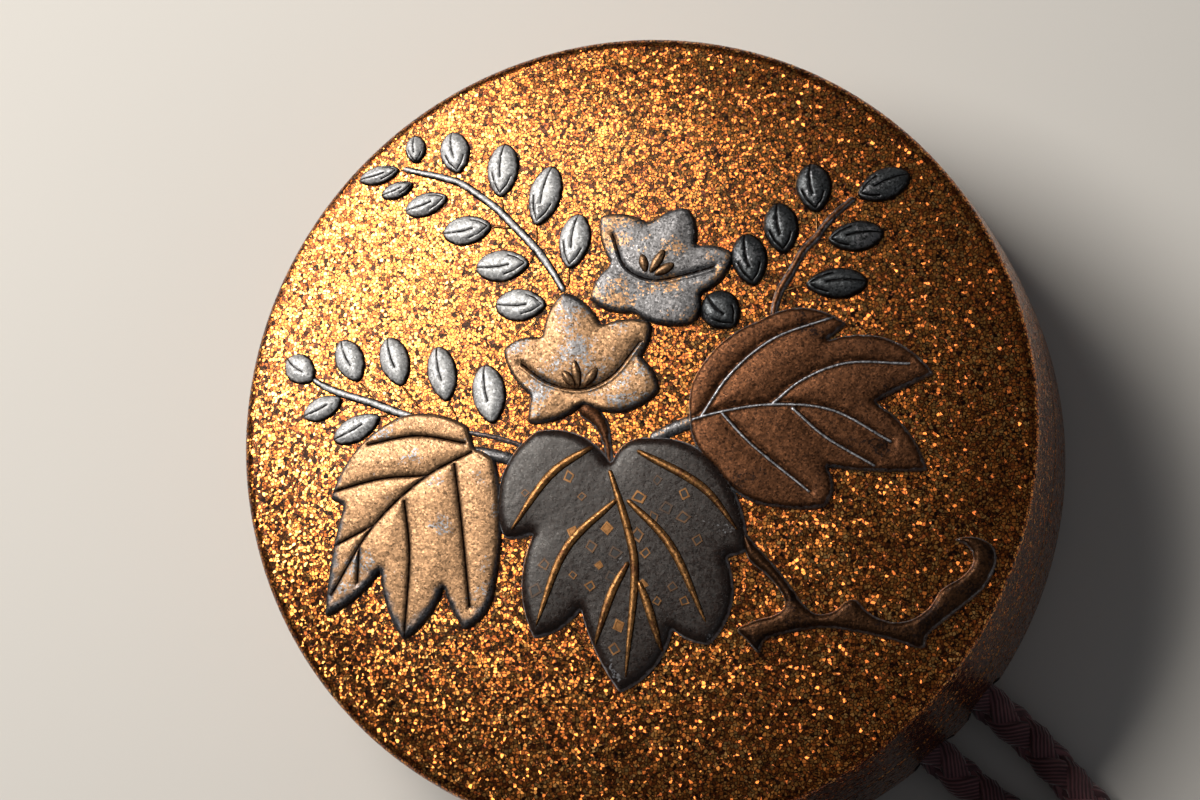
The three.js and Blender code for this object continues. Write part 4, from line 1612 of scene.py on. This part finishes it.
class Design:
    """The raised paulownia design."""

    VEIN_STEP = 0.12
    STALK_STEP = 0.10
    STAMEN_STEP = 0.08
    BUD_SWELL = 1.1
    BUD_MIDDLE = ((0.36, 0.02), (0.55, 0.06), (0.78, 0.045), (0.97, 0.0))
    BUD_NOTCH = ((0.46, 0.30), (0.26, 0.20), (0.07, 0.0), (0.22, -0.19), (0.38, -0.29))

    def __init__(self) -> None:
        """Makes the finishes that the design's pieces share."""
        self.looks = {finish.name: finish.build() for finish in (*POWDERS, Foil())}

    def piece(self, name: str, shells: Sequence[Shell], look: str, crease: float = 50) -> None:
        """Makes one piece of some shells, with a finish chosen by name."""
        make_piece(name, join(shells), [self.looks[look]], crease)

    def figure(self, name: str, figure: Figure, look: str, slot: str) -> Figure:
        """Makes one raised figure and gives it back, for what lies on it."""
        self.piece(name, [figure.shell()], look, 60)
        return figure

    def leaves(self) -> None:
        """The three leaves, with the middle leaf's raised veins and foil squares."""
        left = Figure.bowed(LEFT_LEAF, LEFT_LEAF_LINES, Form.LEAF.value)
        self.figure("left_leaf", left, "gold_powder", "relief_gold")
        right = Figure.bowed(RIGHT_LEAF, RIGHT_LEAF_LINES, Form.RIDGED_LEAF.value)
        self.figure("right_leaf", right, "brown_gold_powder", "relief_gold")
        middle = Figure.bowed(MIDDLE_LEAF, [], Form.DARK_LEAF.value)
        self.figure("middle_leaf", middle, "charcoal_powder", "relief_pewter")
        veins = [
            ribbon(curve(scaled(line), self.VEIN_STEP), *Ridge.VEIN.value, middle.surface)
            for line in MIDDLE_LEAF_VEINS
        ]
        self.piece("middle_leaf_veins", veins, "bronze_powder")
        FoilSquares().build(self.looks["gold_foil"], middle.surface)

    def flowers(self) -> None:
        """The two flowers with their stamens."""
        rows = [
            ("upper_flower", UPPER_FLOWER, UPPER_FLOWER_LINES, UPPER_STAMENS,
             "silver_and_gold_powder", "relief_silver"),
            ("lower_flower", LOWER_FLOWER, LOWER_FLOWER_LINES, LOWER_STAMENS,
             "gold_over_silver_powder", "relief_gold"),
        ]
        for name, corners, lines, stamens, look, slot in rows:
            flower = self.figure(name, Figure.bowed(corners, lines, Form.FLOWER.value, 0.16), look, slot)
            ridges = [
                ribbon(spaced(scaled(line), self.STAMEN_STEP), *Ridge.STAMEN.value, flower.surface)
                for line in stamens
            ]
            self.piece(f"{name}_stamens", ridges, "bright_gold_powder")

    def bud(self, bud: Bud, notched: bool) -> Figure:
        """A bud, pointed at its root and fuller beyond the middle.

        Args:
            bud: its place and size.
            notched: whether a small V is engraved at its root, besides its middle line.

        Returns:
            The figure.
        """
        size = np.array([bud.length, self.BUD_SWELL * bud.width]) * FACE.radius
        along = (1 - np.cos(np.linspace(0, math.pi, 60))) / 2
        half = np.sin(math.pi * along**1.12) ** 0.52 / 2
        right = np.column_stack([along, -half])
        left = np.column_stack([along, half])[::-1][1:-1]
        drawn = (self.BUD_MIDDLE, self.BUD_NOTCH) if notched else (self.BUD_MIDDLE,)
        place = np.array([bud.x, bud.y]) * FACE.radius
        shapes = (np.concatenate([right, left]), *drawn)
        ring, *lines = (np.array(shape) * size @ spin(bud.heading) + place for shape in shapes)
        lines = [spaced(line, Figure.LINE_STEP) for line in lines]
        return Figure(Figure.softened(ring, 0.05, 0.06), lines, Form.BUD.value)

    def spray(self, spray: Spray) -> None:
        """One spray: its buds, its stem and the buds' thin stalks.

        Args:
            spray: the spray.
        """
        buds = [self.bud(bud, spray.notched).shell() for bud in spray.buds]
        self.piece(f"{spray.name}_buds", buds, spray.look, 60)
        stem = ribbon(curve(scaled(spray.stem), self.VEIN_STEP), *Ridge.STEM.value)
        self.piece(f"{spray.name}_stem", [stem], spray.stem_look)
        feet = [(bud.foot, (bud.x, bud.y)) for bud in spray.buds if bud.foot]
        stalks = [ribbon(spaced(scaled(line), self.VEIN_STEP), *Ridge.BUD_STALK.value) for line in feet]
        self.piece(f"{spray.name}_stalks", stalks, "bronze_powder")

    def branch(self) -> None:
        """The bare branch at lower right, and the stalks of flower and leaves."""
        self.figure("branch", Figure.flowing(BRANCH_OUTLINE, Form.BRANCH.value), "bark_powder", "relief_gold")
        rows = [
            (FLOWER_STALK, Ridge.FLOWER_STALK), (SPRAY_STALK, Ridge.SPRAY_STALK),
            (LEFT_LEAF_STALK, Ridge.LEFT_LEAF_STALK), (RIGHT_LEAF_STALK, Ridge.RIGHT_LEAF_STALK),
        ]
        stalks = [ribbon(curve(scaled(line), self.STALK_STEP), *ridge.value) for line, ridge in rows]
        self.piece("flower_and_spray_stalks", stalks[:2], "brown_gold_powder")
        self.piece("leaf_stalks", stalks[2:], "silver_and_gold_powder")

    def build(self) -> None:
        """Makes the whole design."""
        self.leaves()
        self.flowers()
        for spray in SPRAYS:
            self.spray(spray)
        self.branch()


# The cord

UPPER_ROUTE = [
    (17.3, -13.35, 1.12), (19.2, -15.4, 1.05), (20.9, -17.25, 1.05), (22.7, -19.15, 1.05),
    (24.4, -21.05, 1.05), (25.6, -22.85, 1.05), (26.4, -25.0, 1.05), (26.9, -27.4, 1.05),
    (27.25, -29.9, 1.05), (27.4, -32.4, 1.05),
]
LOWER_ROUTE = [
    (14.7, -15.75, 1.12), (16.6, -17.2, 1.05), (18.7, -18.7, 1.05), (20.3, -19.9, 1.05),
    (21.6, -21.1, 1.05),
]


def unit(run: np.ndarray) -> np.ndarray:
    """Directions as unit vectors."""
    return run / np.linalg.norm(run, axis=1)[:, None]


@dataclass(frozen=True)
class Braid:
    """A round braid of four silk strands along a path, in millimetres.

    Attributes:
        diameter: its diameter.
        pitch: the length in which a strand goes once round it.
        depth: how far a strand dips where it passes under another.
        step: how far apart the points of its path are.
        sides: how many sides a strand's section has.
        thick: half a strand's thickness, as a share of the braid's radius.
        wide: half a strand's width, as the same share.
    """

    diameter: float = 2.0
    pitch: float = 5.4
    depth: float = 0.15
    step: float = 0.34
    sides: int = 10
    thick: float = 0.42
    wide: float = 0.66

    def frames(self, path: np.ndarray) -> tuple[np.ndarray, np.ndarray]:
        """Two directions across the path at each point, carried along it without twist.

        Args:
            path: the braid's middle.

        Returns:
            Both directions at each point.
        """
        run = unit(np.gradient(path, axis=0))
        first = np.cross(run[0], (0.0, 0.0, 1.0))
        normals = [first / np.linalg.norm(first)]
        for direction in run[1:]:
            carried = normals[-1] - direction * (normals[-1] @ direction)
            normals.append(carried / np.linalg.norm(carried))
        normal = np.array(normals)
        return normal, np.cross(run, normal)

    def shell(self, path: np.ndarray) -> Shell:
        """The four strands, passing over and under each other, as closed tubes.

        Args:
            path: the braid's middle.

        Returns:
            The strands as one shell.
        """
        normal, side = self.frames(path)
        place = distances(path)
        turn = 2 * math.pi * place / self.pitch
        radius = self.diameter / 2
        middle = radius - self.thick * radius - self.depth
        shells = []
        for way, start in ((1, 0.0), (1, math.pi), (-1, math.pi / 2), (-1, 1.5 * math.pi)):
            angle = way * turn + start
            reach = middle + way * self.depth * np.sin(2 * turn)
            outward = np.cos(angle)[:, None] * normal + np.sin(angle)[:, None] * side
            shells.append(self.tube(path + outward * reach[:, None], outward, place))
        return join(shells)

    def tube(self, centre: np.ndarray, outward: np.ndarray, place: np.ndarray) -> Shell:
        """One strand: a flattened tube whose flat side faces out of the braid.

        Args:
            centre: the strand's middle.
            outward: the direction out of the braid at each point.
            place: how far along the braid each point lies.

        Returns:
            The closed shell.
        """
        run = unit(np.gradient(centre, axis=0))
        out = unit(outward - run * (outward * run).sum(1)[:, None])
        flank = np.cross(run, out)
        thick, wide = self.thick * self.diameter / 2, self.wide * self.diameter / 2
        angles = np.arange(self.sides) * 2 * math.pi / self.sides
        points = np.concatenate([
            c + np.outer(np.cos(angles), o) * thick + np.outer(np.sin(angles), f) * wide
            for c, o, f in zip(centre, out, flank)
        ])
        values = {"across": np.tile(np.sin(angles) / 2, len(centre)), "along": np.repeat(place, self.sides)}
        return Shell(points, tube_faces(len(centre), self.sides), values)


@dataclass(frozen=True)
class Knot:
    """An overhand knot tied in the cord, in millimetres.

    Attributes:
        name: its piece's name.
        node: the solid that it replaces.
        size: its length, width and height.
        height: the height of its middle.
        thick: how thick its cord is, pulled tight.
        pitch: the pitch of its braid.
        step: how far apart the points of its path are.
    """

    name: str
    node: str
    size: tuple[float, float, float]
    height: float
    thick: float
    pitch: float = 4.2
    step: float = 0.3

    def build(self, centre: Vector, heading: float, silk: bpy.types.Material) -> bpy.types.Object:
        """Makes the knot: a braid that closes on itself.

        Args:
            centre: the place of its middle, of which the height isn't used.
            heading: the direction of its length, in degrees.
            silk: its material.

        Returns:
            The object.
        """
        t = np.linspace(0.35, 0.35 + 2 * math.pi, 240)
        loop = np.column_stack([np.sin(t) + 2 * np.sin(2 * t), np.cos(t) - 2 * np.cos(2 * t), -np.sin(3 * t)])
        loop *= (np.array(self.size) - self.thick) / 2 / np.abs(loop).max(0)
        loop[:, :2] = loop[:, :2] @ spin(heading)
        path = spaced(loop + np.array([centre.x, centre.y, self.height]), self.step)
        made = make_piece(self.name, Braid(self.thick, self.pitch).shell(path), [silk], 180)
        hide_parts(self.node)
        return made


@dataclass(frozen=True)
class Strand:
    """One strand of the doubled cord, in millimetres.

    Attributes:
        name: its piece's name.
        nodes: the solids that it replaces.
        side: 1 for the strand nearer the top of the design, -1 for the other.
        route: its middle from the case to the coil.
        reaches: the angle at which it reaches the coil, in degrees.
        lead: how it settles on the coil's outer turn: degrees past that angle, radius and height.
    """

    name: str
    nodes: tuple[str, ...]
    side: int
    route: Line
    reaches: float
    lead: Line

    @property
    def height(self) -> float:
        """The height of its layer of the coil."""
        return self.lead[-1][2]


STRANDS = (
    Strand(
        "cord_upper_braid", ("cord_upper", "cord_upper_tail", "cord_coil"), 1, UPPER_ROUTE, 0.4,
        ((12, 13.95, 1.75), (24, 13.35, 2.55), (36, 12.65, 2.97), (48, 12.15, 3.09), (60, 12.0, 3.12)),
    ),
    Strand(
        "cord_lower_braid", ("cord_lower", "cord_lower_tail"), -1, LOWER_ROUTE, 53.0,
        ((12, 13.35, 1.03), (24, 12.55, 1.02), (36, 12.1, 1.02), (48, 12.0, 1.02)),
    ),
)
END_KNOT = Knot("end_knot_tied", "end_knot", (7.0, 6.4, 4.5), 2.3, 1.9)
STOP_KNOT = Knot("stop_knot_tied", "stop_knot", (3.6, 6.2, 3.4), 3.4, 1.5)


@dataclass
class Cord:
    """The doubled cord: its holes, routes, coil and knots, in millimetres.

    Attributes:
        braid: its braid.
        azimuth: the direction in which it leaves the case, in degrees.
        spacing: how far apart its holes are.
        hole_height: the height of a hole's axis at the wall.
        hole_slope: how steeply that axis rises inwards, in degrees.
        hole_ends: how far from the case's axis a hole's axis starts and ends, well past the wall.
        knot_reach: how far from the case's axis the stop knot is.
        strand_start: how far from there the strands start, inside the knot.
        clearance: the room between the tails' ends and the end knot.
        coil: the place of the coil's middle.
        outer_turn: the radius of its outer turn.
        inner_turn: the radius of its inner turn.
        change: how many degrees past its start a strand leaves the outer turn, and in how many it changes.
        turn_step: the degrees between points of the coil.
        tail_turn: the angle at which the tails leave the inner turn, in degrees.
        tail_bend: the radius of the tails' bend.
        tail_sweep: how many degrees they bend.
        knot_entry: how far they reach into the end knot.
    """

    braid: Braid = field(default_factory=Braid)
    azimuth: float = -42.4
    spacing: float = 3.5
    hole_height: float = 1.95
    hole_slope: float = 20
    hole_ends: tuple[float, float] = (15.2, 21.0)
    knot_reach: float = 12.6
    strand_start: float = 1.1
    clearance: float = 0.3
    coil: tuple[float, float] = (13.0, -32.5)
    outer_turn: float = 12.0
    inner_turn: float = 9.9
    change: tuple[float, float] = (330, 60)
    turn_step: float = 15
    tail_turn: float = 85
    tail_bend: float = 4.6
    tail_sweep: float = 118
    knot_entry: float = 2.2

    def hole(self, side: float, reach: float) -> Vector:
        """A point on a cord hole's axis.

        Args:
            side: 1 or -1 for a hole, and 0 between them.
            reach: its distance from the case's axis.

        Returns:
            The point.
        """
        turn = math.radians(self.azimuth)
        out = Vector((math.cos(turn), math.sin(turn), 0))
        across = Vector((-math.sin(turn), math.cos(turn), 0))
        height = self.hole_height + (FACE.radius - reach) * math.tan(math.radians(self.hole_slope))
        return out * reach + across * side * self.spacing / 2 + Vector((0, 0, height))

    def holes(self) -> list[tuple[Vector, Vector]]:
        """Both ends of each hole's axis."""
        inner, outer = self.hole_ends
        return [(self.hole(strand.side, inner), self.hole(strand.side, outer)) for strand in STRANDS]

    def on_circle(self, centre: Point, angle: float, radius: float, height: float) -> Point:
        """A point of a flat circle, its angle in degrees."""
        turn = math.radians(angle)
        return centre[0] + radius * math.cos(turn), centre[1] + radius * math.sin(turn), height

    def tail_point(self, bend: float, height: float) -> Point:
        """A point of a tail, that many degrees round its bend."""
        pivot = self.on_circle(self.coil, self.tail_turn, self.inner_turn - self.tail_bend, height)
        return self.on_circle(pivot, self.tail_turn - bend, self.tail_bend, height)

    def turns(self, strand: Strand) -> list[Point]:
        """A strand's two turns in the coil, wound clockwise.

        Args:
            strand: the strand.

        Returns:
            The points, up to where the tail begins.
        """
        places = list(strand.lead)
        end = strand.reaches - self.tail_turn + 720
        start, length = self.change
        for past in np.arange(places[-1][0] + self.turn_step, end, self.turn_step):
            share = min(max((past - start) / length, 0), 1)
            ease = share * share * (3 - 2 * share)
            places.append((past, self.outer_turn + (self.inner_turn - self.outer_turn) * ease, strand.height))
        return [self.on_circle(self.coil, strand.reaches - past, radius, z) for past, radius, z in places]

    def path(self, strand: Strand) -> np.ndarray:
        """The whole line of one strand, from the knot inside the base to the knot at its end.

        Args:
            strand: the strand.

        Returns:
            Its points, at even steps.
        """
        reaches = (self.knot_reach + self.strand_start, FACE.radius - 1, FACE.radius + 0.6)
        hole = [tuple(self.hole(strand.side, reach)) for reach in reaches]
        bends = (0, 20, 40, 60, 80, 100, self.tail_sweep)
        tail = [self.tail_point(bend, strand.height) for bend in bends]
        knot = self.end_knot_place(self.knot_entry)
        entry = (knot.x, knot.y, (strand.height + END_KNOT.height) / 2)
        return curve([*hole, *strand.route, *self.turns(strand), *tail, entry], self.braid.step)

    def end_knot_place(self, into: float) -> Vector:
        """A point inside the end knot, on the line by which the tails reach it.

        Args:
            into: how far in it is.

        Returns:
            The point.
        """
        end = Vector(self.tail_point(self.tail_sweep, 0))
        before = Vector(self.tail_point(self.tail_sweep - 1, 0))
        return end + (end - before).normalized() * into

    def build(self, silk: bpy.types.Material) -> None:
        """Args:
            silk: the cord's material.
        """
        run = self.end_knot_place(1) - self.end_knot_place(0)
        end = self.end_knot_place(END_KNOT.size[0] / 2 + self.clearance)
        knots = [
            END_KNOT.build(end, math.degrees(math.atan2(run.y, run.x)), silk),
            STOP_KNOT.build(self.hole(0, self.knot_reach), self.azimuth, silk),
        ]
        for strand, pieces in zip(STRANDS, (knots, [])):
            path = self.path(strand)
            made = make_piece(strand.name, self.braid.shell(path), [silk], 180)
            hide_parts(*strand.nodes)
            self.hole(strand.side, FACE.radius) * MM
            self.braid.diameter * MM


# The studio

@dataclass(frozen=True)
class Lamp:
    """A square area light that looks at the case, in metres and watts."""

    name: str
    towards: Point
    distance: float
    size: float
    power: float
    colour: Colour

    def build(self, aim: Vector) -> None:
        """Places it, looking at a point.

        Args:
            aim: the point.
        """
        data = bpy.data.lights.new(self.name, "AREA")
        data.size = self.size
        data.energy = self.power
        data.color = self.colour
        made = add_object(self.name, data)
        direction = Vector(self.towards).normalized()
        made.location = aim + direction * self.distance
        made.rotation_mode = "QUATERNION"
        made.rotation_quaternion = direction.to_track_quat("Z", "Y")


LAMPS = (
    Lamp("key", (-0.48, 0.34, 0.81), 0.16, 0.09, 0.31, (1.0, 0.94, 0.86)),
    Lamp("side", (-0.85, 0.45, 0.42), 0.40, 0.14, 0.42, (1.0, 0.97, 0.93)),
    Lamp("fill", (0.7, -0.5, 0.6), 0.9, 0.6, 0.25, (0.90, 0.94, 1.0)),
)


@dataclass
class Studio:
    """Floor, lights and the camera at the photograph's viewing angle, in metres."""

    eye: tuple[float, float, float] = (0.04880, -0.04158, 0.26065)
    right: tuple[float, float, float] = (0.980302, 0.016827, -0.196809)
    up: tuple[float, float, float] = (0.016827, 0.985632, 0.168090)
    back: tuple[float, float, float] = (0.196809, -0.168090, 0.965926)
    lens: float = 163.7
    aim: float = 0.012
    floor_half: float = 2.0
    sky: Colour = (0.90, 0.92, 0.95)
    sky_strength: float = 0.08

    def camera(self) -> None:
        """Places the camera."""
        data = bpy.data.cameras.new("camera")
        data.lens = self.lens
        data.sensor_width = 36
        data.clip_start = 0.01
        data.clip_end = 20
        made = add_object("camera", data)
        axes = Matrix((self.right, self.up, self.back)).transposed().to_4x4()
        made.matrix_world = Matrix.Translation(self.eye) @ axes
        bpy.context.scene.camera = made

    def floor(self) -> None:
        """Makes the floor."""
        mesh = bpy.data.meshes.new("floor")
        half = self.floor_half
        corners = [(-half, -half, 0), (half, -half, 0), (half, half, 0), (-half, half, 0)]
        mesh.from_pydata(corners, [], [(0, 1, 2, 3)])
        mesh.materials.append(FloorPaint().build())
        add_object("floor", mesh)

    def build(self) -> None:
        """Makes the floor and the lights."""
        self.floor()
        for lamp in LAMPS:
            lamp.build(Vector((0, 0, self.aim)))
        world = bpy.data.worlds.new("studio")
        world.use_nodes = True
        background = world.node_tree.nodes["Background"]
        background.inputs["Color"].default_value = (*self.sky, 1)
        background.inputs["Strength"].default_value = self.sky_strength
        bpy.context.scene.world = world
        bpy.context.scene.view_settings.view_transform = "Standard"


def main() -> None:
    """Builds the scene: camera and cord first, then the case, its design and the studio."""
    logging.basicConfig(level=logging.INFO, format="%(name)s: %(message)s")
    studio = Studio()
    studio.camera()
    cord = Cord()
    cord.build(Silk().build())
    Case().build([FlakeLacquer().build(), PlainLacquer().build()], cord.holes())
    Design().build()
    studio.build()


if __name__ == "__main__":
    main()
